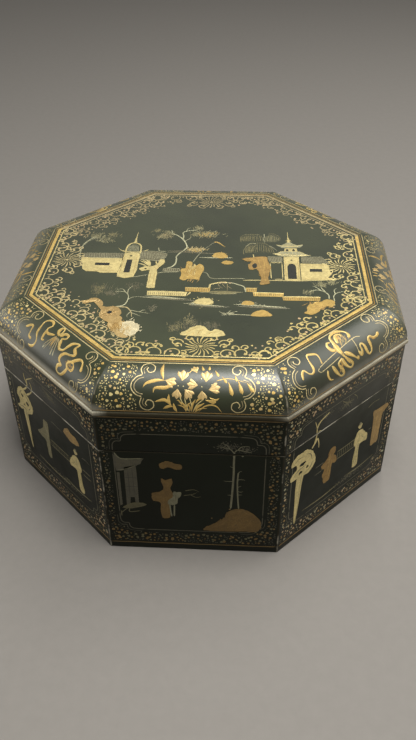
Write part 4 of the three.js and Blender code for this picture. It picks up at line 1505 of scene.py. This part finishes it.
# %% Panel outline and its ground
PANEL_LEFT = -42.0
PANEL_RIGHT = 40.0
PANEL_FOOT = 17.0
PANEL_HEAD = 93.0
LOBE_REACH = 14.0
FOOT_LINE = 5.2
HEAD_LINE = 104.4
WALL_LENGTH = WALL_APOTHEM / MM * CORNER_SLOPE


def panel_outline(sheet):
    """A thin line with a small lobe at each corner, the same for all four, turned over about the middle."""
    middle = ((PANEL_LEFT + PANEL_RIGHT) / 2, (PANEL_FOOT + PANEL_HEAD) / 2)
    half = ((PANEL_RIGHT - PANEL_LEFT) / 2, (PANEL_HEAD - PANEL_FOOT) / 2)
    lobe = spots("0 -14, -0.2 -8, -1.8 -5.6, -4.6 -5.2, -5.2 -2.6, -7.4 -0.6, -14 0")
    for across in (1, -1):
        for up in (1, -1):
            path = (lobe + half) * (across, up) + middle
            sheet.stroke("dim", 0.75, path)
            sheet.stroke("dim", 0.4, path + (across * 1.5, up * 1.5), lift=LIFT * 0.7)
    for end in (1, -1):
        x = middle[0] + end * half[0]
        y = middle[1] + end * half[1]
        upright = [(x, PANEL_FOOT + LOBE_REACH), (x, PANEL_HEAD - LOBE_REACH)]
        level = [(PANEL_LEFT + LOBE_REACH, y), (PANEL_RIGHT - LOBE_REACH, y)]
        for ends in (upright, level):
            sheet.stroke("dim", 0.75, ends, steps=20)


def wall_ground(u, v, radius):
    """Outside the panel, between the foot line and the head line, and clear of the mitres."""
    out_u = np.maximum(PANEL_LEFT - u, u - PANEL_RIGHT)
    out_v = np.maximum(PANEL_FOOT - v, v - PANEL_HEAD)
    outside = (np.maximum(out_u, out_v) > 1.9 + radius) | ((out_u > -4) & (out_v > -4))
    inside_lines = (v > FOOT_LINE + 0.8 + radius) & (v < HEAD_LINE - 0.8 - radius)
    return outside & inside_lines & (np.abs(u) < WALL_LENGTH - MITRE_MARGIN - radius)


# %% Figures
ROBE = spots("-2 0, 1.9 0, 1.6 8, 1.6 14.4, 4.4 14.8, 7.2 14.4, 7.2 18, 4.6 21.6, 2 24.6, -1.4 24.6, "
             "-2.8 21.6, -3.4 17.6, -2.6 15.6, -1.7 14, -1.9 8")
FOLDS = "0.4 1, 0.2 10, 0.8 16; -1.2 2, -1.2 12; 2 20, 4.4 17.6, 6.4 16.4; -0.8 24.6, 0.6 20, -0.4 17"


def figure(sheet, powder, curves, height, lean, arm):
    """A standing figure in a long robe: a plain round head, wide sleeves and a column of a skirt."""
    x, foot = curves[0][0]
    scale = height / 30.0

    def stand(points):
        sideways = x + points[:, 0] * arm * scale + lean * points[:, 1] / 25
        return np.stack([sideways, foot + points[:, 1] * scale], -1)

    sheet.patch(powder, [stand(ROBE)])
    head = (x + lean, foot + height - 2.2 * scale)
    hair = (x + lean - 0.2 * arm * scale, foot + height - 0.5 * scale)
    sheet.dots(powder, [head], 2.2 * scale, sides=14)
    sheet.dots("olive", [hair], 1.3 * scale, sides=10, lift=LIFT + 0.05)
    sheet.level += 1
    for fold in FOLDS.split(";"):
        sheet.stroke("olive", 0.42, stand(spots(fold)))
    sheet.level -= 1


KINDS["figure"] = figure

# %% The lakeside panel
# A verandah, two figures, a bare pine and a large rock.
LAKESIDE = """
patch dim 2: -41.4 78.6, -40 76, -37.6 74.6, -34 74, -27 74.4, -25.6 75, -28 71.4, -30.4 69.4, -36 66.6,
  -41.4 65.4
patch dim 1: -37 68, -30.2 70, -30.2 52, -30.4 36.6, -32.2 36.4, -32.4 44.4, -34.8 44.4, -35.4 36.4,
  -37.4 36
patch dim 1: -41.2 64, -39.6 64, -39.8 38, -41.2 37
level 1
patch olive: -40 35.6, -36 38.6, -30 40, -26 38.6, -29 36.8, -35 34.8
line silver 0.8: -41.4 79, -39.6 75.8, -36.6 74.4, -26 75; -41 65.6, -36 66.8, -30 69.8
hatch olive 0.35 14: -40.6 67, -36 68, -29.4 71; -40.6 75.6, -36 74, -28 74
line ink 0.5: -35 66, -35 46; -32.6 68, -32.4 46; -37 60, -30.4 60; -37 53, -30.4 53
level 0
line olive 0.8: -41 31, -36 35.6, -27 37.4; -41 33, -41 28; -36 35, -36 32, -30 33
patch umber: -17.2 68.6, -17.2 71.6, -15 73.2, -13 73.8, -10.4 73, -8.6 71.8, -5.6 71.2, -5 68.4,
  -8 67.4, -12 69, -15 68
patch umber: -17 60, -14.4 59, -11 60.2, -11 56, -12 52, -10.5 48.4, -10.8 44, -13 41, -12.8 34,
  -13 28.4, -17.4 28, -18 35, -18.2 41, -22 42.2, -22.8 45, -22.4 48.4, -18.4 49.4, -16 52, -16.4 56
level 1
line bronze 0.45: -16 47, -16.6 30; -14.4 46, -14.2 30; -21.6 46.6, -17 44.6, -12.6 46; -13 58, -13.6 50
patch silver: -10.4 50, -8.6 49.4, -6.2 49.6, -6.6 46.4, -8 44.6, -8.4 40.6, -10.4 39.2, -13.6 39.4,
  -13.8 42.4, -11.4 45
line silver 0.9: -12.8 39.4, -12.6 34, -12 29; -10.2 39.2, -10.4 34, -10.6 29.4
level 2
line olive 0.4: -9 48.6, -9.6 42; -12.6 42.4, -9.6 42.6
level 0
fade olive 0.8: -5 47, 0 48.2, 3 50; -1 48, 2 46, 5 46.6; -4 51, 1 52, 4 50.4
line silver 1.3: 23.2 82, 23 74, 23 66, 22.4 50, 21.6 37
line silver 1.1: 25.6 67, 25.2 61, 25.2 55, 25.6 46, 26.2 37
fade silver 0.9: 23 81.4, 21 84, 18 85, 14 86; 23.2 82, 25 83.6, 28 83, 32.4 82; 25 83.6, 27 86,
  31 86.6; 21 84, 19 87, 16 88.4
fade silver 0.7: 25.2 61, 27 61.4, 29.4 61; 25.4 49, 28 49.2; 22.8 60, 20 59.6, 17.6 60; 22.4 48.6,
  19.6 48.8; 25.2 55, 27.4 56.4; 25.4 66, 26.6 67.6, 27.6 67.4; 23 70, 21 71.4; 25.4 52, 27 51.4,
  28.4 52
domes silver 8 0.9: 23 79.2, 27.6 79.4
dust dim 130 0.4 301: 20 86, 7 3.4
dust dim 90 0.4 302: 30 84, 5 3
patch umber: 6 18.4, 8 21.4, 12 24, 14.6 26.8, 18 29, 19 33, 22 36, 27 37.4, 31.4 36.2, 35 33, 38.5 29,
  39.4 25, 38.8 20.4, 35 18, 29 18.2, 20 17.9, 10 17.8
level 1
line bronze 0.6: 10 20, 17 24, 22 31; 16 19.6, 24 24, 27 33; 24 19.4, 31 23, 34 30; 20 33.4, 27 35.6,
  33 32.6
dust bronze 150 0.45 303: 25 27, 10 7
level 0
"""

# %% The garden walk panel
# A pierced tree, two figures on a fenced walk and a banner.
WALK = """
level 1
patch pale: -43 70, -38.6 73.2, -35 72.8, -32 73.4, -28 71, -25 67, -23 62, -23.4 57, -27 53.8,
  -31 53.4, -38 55, -42.6 55.2, -43.4 57.6, -42 60, -39 61.6, -39 66, -43 66.8;
  round -33.8 63.8 2.6 1.3; round -35 57.4 1.6 1.6; round -29.6 59 1.1 1.1
fade pale 6.2: -34.6 57, -35.6 46, -35.8 34, -36.4 15.6
fade pale 1.4: -27 71, -25 74, -24 79, -24.5 85, -26.4 90.6; -24.4 84, -23 87, -20 89, -14.6 90.6;
  -25 73, -23 76, -21.4 72, -21 68; -24 79, -22 81, -20 80
level 2
leaf ink 0.9: -41.4 67.6, -38 69.8, -33.6 69.4; -31.6 70, -27.6 67.4, -25.8 61.6; -41 57.4, -37.4 60.4,
  -31 61.6; -30 55.4, -27 57, -25.4 60.6
line olive 0.4: -33.7 57, -34.7 46, -34.9 34, -35.5 15.6
level 0
patch umber: -9.6 58.8, -6.6 59.4, -4.6 57, -5 54.4, -6.2 52.8, -3.4 50, -2.6 46.2, -4.6 45, -6.6 46,
  -7 41, -7.4 34, -9.6 32.4, -12.6 33.4, -13.6 37, -14.4 41.6, -13.2 45, -16 47.4, -16.2 50, -13.2 51.8,
  -11 53.4, -10.8 56
level 1
line gold 0.5: -9 56, -9.6 48, -10 38; -7 50, -7.6 44, -8.6 36; -12 52, -9 51, -5.6 54
level 0
line olive 0.9: -3 52.6, 5 52.4, 14 52.6; -3 46.4, 5 46.2, 14.6 46.4
hatch olive 0.45 10: -2 46.6, 14 46.6; -2 52.4, 14 52.4
line dim 0.7: 26 52.4, 29 52.4; -22 46, -15 46; -22 52, -14 52
figure pale 35.4 0 1: 17 28
patch bronze: 28.6 65.6, 33 64.8, 38 65.2, 42.4 64.4, 43.4 62, 40.4 60, 38.4 58, 38.2 50, 37.8 37,
  34 35.6, 31 36.4, 30.4 48, 29.4 60
level 1
line gold 0.5: 33 63, 33 38; 36.4 62, 36 38; 29.6 63.4, 36 62.6, 42 63
level 0
fade olive 0.8: -4 92, -1 89.6, 2 86, 3 84; 6 91.6, 8.6 89, 10 86; -1 89.6, 3 88, 6 88.6; 22 72,
  27 73.6, 33 73
dust dim 130 0.4 311: 0 88, 7 3.4
dust dim 80 0.4 312: -17 90, 5 2.4
leaf olive 1.2: -30 22, -12 21, 4 22.4; 8 24.6, 22 23.6, 36 25
dust dim 160 0.42 313: 12 22, 14 2.6
"""

# %% The terrace panel
# A pierced tree with long branches, two figures on a terrace and a cloud.
TERRACE = """
level 1
patch pale: -38.6 66, -36.6 70.6, -35 73, -32.6 74.8, -30 75, -26 72, -22.4 68, -21 63, -22.4 59.6,
  -25 57, -28 55.4, -31 54.6, -34 55.6, -38 54.6, -40.6 56.2, -37.4 58.8, -36.4 62.4;
  round -32 68 1.4 1.3; round -27 64 1.8 1.6; round -31.2 61 1 0.9
fade pale 5.2: -31.6 58, -31.8 50, -31.6 38, -31.4 25
fade pale 1.4: -30 73.6, -25 78, -22.4 82, -22 86, -18 89, -14 92; -26 72, -20 77, -17.4 82, -18.6 86;
  -22 82, -24 86, -24.4 90
level 2
leaf ink 0.9: -35.4 66, -33.6 70.4, -30.6 72.4; -29 71.6, -26 68.4, -24.4 65; -38 56.6, -34 58,
  -29 57.6; -27.6 59, -25 61, -24 63.6
line olive 0.4: -30.7 58, -30.9 50, -30.7 38, -30.5 25
level 0
patch olive: -10 62.6, -7 63.4, -4.8 62, -5.6 55, -6 47, -6.6 40, -7 33, -10 32, -10.8 38, -11 45,
  -15 46, -19.4 47.8, -16.4 50.6, -14.6 52.4, -11 56.6
patch bronze: 13.6 69, 14.6 71.6, 16 73.4, 19 75.2, 21 73.6, 23.4 72.8, 26 73, 29.4 69.6, 27.4 67.4,
  24 66.6, 20 66, 16.4 67.4
level 1
line silver 0.5: -8 60, -8.4 50, -8.8 36; -17 48.6, -12.6 50, -7.4 51; -6.4 58, -7.2 48
line gold 0.5: 16 70.6, 20 73, 26 70.6; 18 68.2, 23 69.4, 27 68.8
level 0
line olive 0.8: -5 50.2, 5 50, 15 50.2; -5 46, 5 45.8, 16 46; 29 50, 37 50; 29 46, 37 46
hatch olive 0.4 12: -4 46.2, 15 46.2; -4 50, 15 50
fade dim 0.9: 0 68, 6 67.6, 12 67; 30 60, 34 60.6, 38 60
figure pale 34 -1.4 -1: 25 28
dust dim 150 0.4 321: 3 88, 8 3.4
fade olive 0.8: -4 92.4, 0 89.6, 4 86.6; 0 89.6, 5 89, 8 86
dust dim 90 0.4 322: -16 89, 5 3
leaf olive 1.2: -24 23, -6 22, 12 23.4; 6 26, 20 25, 34 26.4
dust dim 170 0.42 323: 8 23, 16 2.6
"""

# %% Lay the side panels
SIDE_PLAN = [
    (LAKESIDE, False), (WALK, False), (TERRACE, True), (LAKESIDE, False),
    (WALK, True), (TERRACE, False), (LAKESIDE, True), (TERRACE, False),
]
# Painted shade: the front's gold and dots are darker because the front is in shade.
FRONT_SHADE_BRIGHTNESS = 0.4
SIDE_BRIGHTNESS = 0.95
SEAM_MARGIN = 0.5
FRONT_SHADE_DOTS = ["dim", "umber", "olive", "bronze", "olive"]
SIDE_DOTS = ["olive", "bronze", "silver", "faded", "rose"]
for side, (picture, mirrored) in enumerate(SIDE_PLAN):
    random = np.random.default_rng(400 + side)
    sheet = Sheet(brightness=SIDE_BRIGHTNESS if side else FRONT_SHADE_BRIGHTNESS)
    reach = WALL_LENGTH - 0.6
    ruled_line(sheet, random, "bronze", 0.9, reach, FOOT_LINE, 0.08, 16)
    ruled_line(sheet, random, "bronze", 0.8, reach, HEAD_LINE, 0.05, 16)
    sheet.at(PANEL_LEFT + PANEL_RIGHT if mirrored else 0, mirror=mirrored).paint(picture)
    sheet.at()
    panel_outline(sheet)
    dots = SIDE_DOTS if side else FRONT_SHADE_DOTS
    sprinkle(sheet, random, (-50, 50), (4, 106), wall_ground, 1.25, 2.6, dots, sizes=(0.52, 1.3))

    def lay_on_wall(u, v, lift):
        """Places on this side's wall: along it, and up from the table."""
        return side_to_box(u, WALL_APOTHEM + lift, v, side)

    sheet.piece(f"body_{SIDE_NAMES[side]}_painting", lay_on_wall, "box", below=SEAM / MM - SEAM_MARGIN)
    sheet.piece(f"lid_{SIDE_NAMES[side]}_painting", lay_on_wall, "lid", above=LID_BOTTOM / MM + SEAM_MARGIN)

# %% [markdown]
# ## Inside the box
#
# Under the lid stand two pewter canisters with a partition between them. Old pewter is grey and soft: it
# has lost its polish, it is blotched where it was handled, and fine scratches run every way. The knobs of
# the stoppers are turned from bone, which shows faint darker lines along the grain.

# %% Pewter
pewter, made, shader, place = start_material("pewter")
blotches = made.noise(place, 42.0, 6.0, 0.62)
hairs = made.group(scratches, place)["Scratches"]
tint = made.mix(made.ramp(blotches, 0.38, 0.66), colour(0.200, 0.198, 0.188), colour(0.390, 0.385, 0.365))
made.feed(shader["Base Color"], made.mix(made.times(hairs, 0.4), tint, colour(0.52, 0.52, 0.50)))
shader["Metallic"].default_value = 0.85
made.feed(shader["Roughness"], made.ramp(blotches, 0.3, 0.7, 0.5, 0.36))
dents = made.times(made.noise(place, 110.0, 2.0, 0.5), 0.5)
made.feed(shader["Normal"], made.bump(made.less(dents, made.times(hairs, 0.12)), 0.3, 0.0004))

# %% Bone
bone, made, shader, place = start_material("bone")
stretched = made.node("ShaderNodeMapping", {"Vector": place, "Scale": (1.0, 1.0, 0.12)}).outputs["Vector"]
grain = made.noise(stretched, 2200.0, 3.0, 0.6)
cloudy = made.noise(place, 260.0, 3.0, 0.5)
tint = made.mix(made.ramp(grain, 0.52, 0.7), colour(0.72, 0.62, 0.43), colour(0.42, 0.31, 0.17))
tint = made.mix(made.ramp(cloudy, 0.4, 0.8, 0.0, 0.4), tint, colour(0.60, 0.46, 0.26))
made.feed(shader["Base Color"], tint)
made.feed(shader["Roughness"], made.ramp(cloudy, 0.3, 0.7, 0.28, 0.45))
made.feed(shader["Normal"], made.bump(grain, 0.25, 0.00005))

# %% Engraved lines, filled with dark tarnish
engraving, made, shader, place = start_material("engraving")
specks = made.noise(place, 1500.0, 3.0, 0.6)
made.feed(shader["Base Color"], made.mix(specks, colour(0.035, 0.034, 0.032), colour(0.10, 0.10, 0.095)))
made.feed(shader["Roughness"], made.ramp(specks, 0.3, 0.7, 0.5, 0.75))
made.feed(shader["Normal"], made.bump(specks, 0.3, 0.00005))

# %% [markdown]
# The canisters' plan is half an octagon. Seen from the middle of the neck, each side is a straight line at
# its own distance, and the plan in any direction is the nearest of them. Adding the sides' inverse
# distances as high powers rounds that choice off, and with it the corners, in one formula. The walls,
# the base and the top with its round opening are then grids over the same directions.

# %% Plan of a canister, in millimetres
PLAN_POWER = 44
CANISTER_FLAT, CANISTER_APOTHEM = (corner.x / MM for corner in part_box("right_canister_wall"))
NECK_X = (CANISTER_FLAT + CANISTER_APOTHEM) / 2
directions = np.linspace(0, 2 * math.pi, 160, endpoint=False)


def neck_circle(reach):
    """Places round the neck at a reach from its middle: one radius, or one for each direction."""
    return np.stack([NECK_X + reach * np.cos(directions), reach * np.sin(directions)], -1)


def canister_plan(inset):
    """Places round a canister, drawn in by the inset."""
    diagonal = CANISTER_APOTHEM - NECK_X * math.cos(math.pi / 4)
    sides = [(0, CANISTER_APOTHEM - NECK_X), (180, NECK_X - CANISTER_FLAT), (90, CANISTER_APOTHEM),
             (-90, CANISTER_APOTHEM), (45, diagonal), (-45, diagonal)]
    total = 0
    for turn, distance in sides:
        toward = np.clip(np.cos(directions - math.radians(turn)), 0, None)
        total += (toward / (distance - inset)) ** PLAN_POWER
    return neck_circle(total ** (-1 / PLAN_POWER))


def stacked(name, shape, profile, material, turn, ends):
    """A skin over rings of one shape, one for each [size, height] of a profile, turned about the middle."""
    rings = [np.column_stack([shape(size), np.full(len(directions), height)]) for size, height in profile]
    rings = np.array(rings) * (math.cos(turn), math.cos(turn), 1) * MM
    return skin(name, rings, material, 40, ends)


# %% Engraving
CURL_STEP = 11.5
CURL_LEAVES = "leaf ink 0.9: -5 0.4, -4.8 2.4, -3.6 4; 0.4 8.6, -1.4 10.4, -3.8 10.6; 5.4 5.4, 7 7, 7.2 9.4"


def engraved_top(name, height, turn, body):
    """Lines along the edge and round the neck, and a ring of leafy curls between them, cut into the top."""
    sheet = Sheet()
    for plan in (canister_plan(3.0), canister_plan(4.2), neck_circle(35.0)):
        sheet.stroke("ink", 0.35, np.vstack([plan, plan[:1]]), steps=1)
    random = np.random.default_rng(600)
    plan = canister_plan(5.4)
    run = running_length(plan)
    for number, place in enumerate(np.arange(8.0, run[-1], CURL_STEP)):
        (x, ahead_x), (y, ahead_y) = (np.interp((place, place + 1), run, plan[:, axis]) for axis in (0, 1))
        heading = math.degrees(math.atan2(ahead_y - y, ahead_x - x))
        sheet.at(x, y, heading, 0.85, mirror=number % 2 == 1)
        vary = random.uniform(-1, 1, 2)
        sheet.stroke("ink", 0.4, spiral((4.4, 0.2), 80 + 6 * vary[0], 4.4 + 0.4 * vary[1], 1.15), steps=0)
        sheet.stroke("ink", 0.35, spiral((4.7, 3.0), 45, 2.0, 0.8), steps=0)
        sheet.paint(CURL_LEAVES)

    def lay(u, v, lift):
        return np.stack([u * math.cos(turn), v * math.cos(turn), height + lift * 0.4], -1)

    sheet.piece(name, lay, body, material=engraving, slot="pewter")


# %% Canisters
NECK_INNER = 29.0
NECK_OUTER = 30.4
PLUG_RADIUS = 28.5
PEWTER_SHEET = 1.4
CAP_RISE = 1.8
TURNED_RINGS = [9, 17]
LARGEST_INSET = 20.0
KNOB_HEIGHT = 8.0
KNOB = ("3.6 0, 4 0.15, 4 0.8, 3.6 1.1, 3 1.9, 2.5 2.6, 2.45 3.3, 3 4, 4 4.6, 4.6 5.2, 4.95 5.8, "
        "4.95 6.3, 4.6 6.9, 3.9 7.4, 2.6 7.8, 1.2 7.97")


def cap_profile(radius, foot, crown):
    """[radius, height] of the cap: from inside its dome, down the skirt, round the foot and over the top."""
    inner = radius - PEWTER_SHEET
    angle = np.linspace(math.pi / 2, 0, 9)[1:]
    inside = np.stack([inner * np.cos(angle), crown - PEWTER_SHEET - CAP_RISE + CAP_RISE * np.sin(angle)], -1)
    skirt = [(inner, foot + 0.4), (inner + 0.5, foot), (radius - 0.4, foot), (radius, foot + 0.4),
             (radius, foot + 1.8), (radius - 0.3, foot + 2.2), (radius - 0.3, crown - CAP_RISE - 0.3)]
    share = np.linspace(0, math.pi / 2, 26)[:-1]
    outside = np.stack([(radius - 0.3) * np.cos(share), crown - CAP_RISE + CAP_RISE * np.sin(share)], -1)
    outside[TURNED_RINGS, 1] -= 0.22
    return np.vstack([inside[0] * (0.05, 1), inside, skirt, outside])


def add_canister(side, turn):
    """One canister with its neck, stopper, knob and cap, each standing for its own CAD node."""

    def heights(part):
        """The bottom and top of a part's CAD node, in millimetres."""
        return [corner.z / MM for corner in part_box(f"{side}_canister_{part}")]

    def add(name, shape, profile, ends, node, rides="canister", finish="pewter"):
        """One piece that stands for a node of this side and rides on one of this side's bodies."""
        material = bone if finish == "bone" else pewter
        piece = stacked(f"{side}_canister_{name}", shape, profile, material, turn, ends)
        stand_for(piece, f"{side}_{rides}", f"{side}_canister_{node}")

    foot, top = heights("base")
    base = [(0.35, foot), (0.0, foot + 0.35), (0.0, top)]
    add("base_plate", canister_plan, base, "smooth", "base")
    foot, top = heights("wall")
    wall = [
        (PEWTER_SHEET, top), (PEWTER_SHEET, foot), (0.35, foot), (0.0, foot + 0.8), (0.3, foot + 1.6),
        (0.3, foot + 3.2), (0.3, top - 6.4), (0.1, top - 5.76), (0.1, top - 5.12), (0.3, top - 4.48),
        (0.3, top - 1.6), (0.0, top - 0.8), (0.35, top),
    ]
    add("shell", canister_plan, wall, "joined", "wall")

    def plate_ring(size):
        """A small size is an inset of the canister's plan, and a large one a radius about the neck."""
        return neck_circle(size) if size > LARGEST_INSET else canister_plan(size)

    foot, top = heights("top")
    plate = [(NECK_INNER, top), (NECK_INNER, foot), (0.35, foot), (0.0, foot + 0.35), (0.0, top - 0.35),
             (0.35, top), (2.0, top), (NECK_OUTER + 3.0, top)]
    add("top_plate", plate_ring, plate, "joined", "top")
    foot, top = heights("neck")
    corners = [(NECK_INNER, foot), (NECK_OUTER, foot), (NECK_OUTER, top), (NECK_INNER, top)]
    add("collar", neck_circle, rounded_section(corners, (0.05, 0.05, 0.5, 0.5)), "joined", "neck")

    foot, top = heights("stopper")
    flange = top - 1.6
    stopper = [
        (PLUG_RADIUS - 0.6, foot), (PLUG_RADIUS, foot + 0.6), (PLUG_RADIUS, flange - 0.02),
        (NECK_OUTER - 0.3, flange), (NECK_OUTER, flange + 0.3), (NECK_OUTER, top - 0.5),
        (NECK_OUTER - 0.5, top - 0.1), (NECK_OUTER - 2.0, top), (22.0, top), (21.6, top - 0.25),
        (21.2, top), (8.0, top), (7.6, top - 0.2), (7.2, top),
    ]
    add("plug", neck_circle, stopper, "smooth", "stopper", "stopper")
    foot, top = heights("stopper_knob")
    knob = [(radius, foot + up * (top - foot) / KNOB_HEIGHT) for radius, up in spots(KNOB)]
    add("knob", neck_circle, knob, "smooth", "stopper_knob", "stopper", "bone")
    foot, top = heights("cap")
    low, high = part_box(f"{side}_canister_cap")
    radius = max(high.x, -low.x) / MM - NECK_X
    add("cover", neck_circle, cap_profile(radius, foot, top), "smooth", "cap", "cap")
    foot, top = heights("top")
    engraved_top(f"{side}_canister_engraving", top * MM, turn, f"{side}_canister")


add_canister("right", 0.0)
add_canister("left", math.pi)

# %% Partition and base
low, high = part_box("partition_board")
outline = [(-high.x, low.z), (high.x, low.z), (high.x, high.z), (-high.x, high.z)]
section = rounded_section(outline, np.array([0.1, 0.1, 1.6, 1.6]) * MM, steps=7)
rings = [np.insert(section, 1, y, axis=1) for y in np.linspace(high.y, low.y, 24)]
partition = skin("partition", np.array(rings), inside_lacquer, BOARD_SHARP)
stand_for(partition, "box", "partition_board")
base_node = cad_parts["base_board"]
base_node.data.materials.clear()
base_node.data.materials.append(inside_lacquer)

# %% [markdown]
# ## Floor and light
#
# The light in the photograph comes from high above, a little to the right: it lies as a bright patch on
# the front of the cushion and leaves the walls dark. Three soft boxes above the lid do the same, and three
# weak ones beside and behind it draw the sheen on the other faces, because gloss is shaped by what it
# mirrors. The floor is plain and pale. The background beyond it is given its pale colour with Light Path:
# the camera and the gloss see it, while the light that it gives stays low.

# %% Floor
FLOOR_RADIUS = 1.7
FLOOR_POINTS = 96
floor_material, made, shader, place = start_material("floor_paper")
fibres = made.noise(place, 160.0, 4.0, 0.6)
made.feed(shader["Base Color"], made.mix(fibres, colour(0.186, 0.173, 0.156), colour(0.214, 0.199, 0.180)))
shader["Roughness"].default_value = 0.8
floor_angles = np.arange(FLOOR_POINTS) * 2 * math.pi / FLOOR_POINTS
floor_rim = [(FLOOR_RADIUS * math.cos(angle), FLOOR_RADIUS * math.sin(angle), 0) for angle in floor_angles]
floor_places = [(0, 0, 0)] + floor_rim
floor_fan = [(0, number + 1, (number + 1) % FLOOR_POINTS + 1) for number in range(FLOOR_POINTS)]
floor = new_piece("floor", floor_places, triangles=floor_fan, material=floor_material)


# %% Soft boxes
def soft_box(name, place, size, power, aim=(0.0, 0.0, 0.12), tint=(1.0, 0.985, 0.95)):
    """A rectangular lamp at a place in metres, turned towards the lid."""
    light = bpy.data.lights.new(name, "AREA")
    light.shape = "RECTANGLE"
    light.size, light.size_y = size
    light.energy = power
    light.color = tint
    lamp = bpy.data.objects.new(name, light)
    bpy.context.scene.collection.objects.link(lamp)
    lamp.visible_camera = False
    lamp.location = place
    lamp.rotation_euler = (Vector(aim) - Vector(place)).to_track_quat("-Z", "Y").to_euler()


soft_box("window", (0.12, -0.14, 1.15), (0.36, 0.44), 9.8, aim=(0.12, -0.14, 0.0))
soft_box("front_panel", (0.18, -0.68, 1.15), (0.2, 0.7), 6.0, aim=(0.18, -0.68, 0.0))
soft_box("rear_panel", (0.20, 0.40, 1.15), (0.16, 0.5), 3.4, aim=(0.20, 0.40, 0.0))
soft_box("right_panel", (0.90, 0.24, 0.95), (1.2, 0.6), 6.8)
soft_box("left_panel", (-1.35, 0.0, 0.28), (1.0, 0.85), 4.4)
soft_box("back_panel", (-0.1, 1.65, 1.1), (1.6, 1.0), 0.8, tint=(1.0, 0.96, 0.80))

# %% Background
world = bpy.data.worlds.new("studio")
world.use_nodes = True
made = Graph(world.node_tree)
rays = made.node("ShaderNodeLightPath").outputs
seen = made.most(rays["Is Camera Ray"], made.most(rays["Is Glossy Ray"], rays["Is Transmission Ray"]))
lit = world.node_tree.nodes["Background"]
lit.inputs["Color"].default_value = colour(0.95, 0.97, 1.0)
lit.inputs["Strength"].default_value = 0.2
shown = made.node("ShaderNodeBackground", {"Color": colour(0.34, 0.325, 0.295), "Strength": 1.0})
both = made.node("ShaderNodeMixShader", {0: seen, 1: lit.outputs[0], 2: shown.outputs[0]})
made.feed(world.node_tree.nodes["World Output"].inputs["Surface"], both.outputs[0])
bpy.context.scene.world = world
bpy.context.scene.view_settings.view_transform = "Standard"
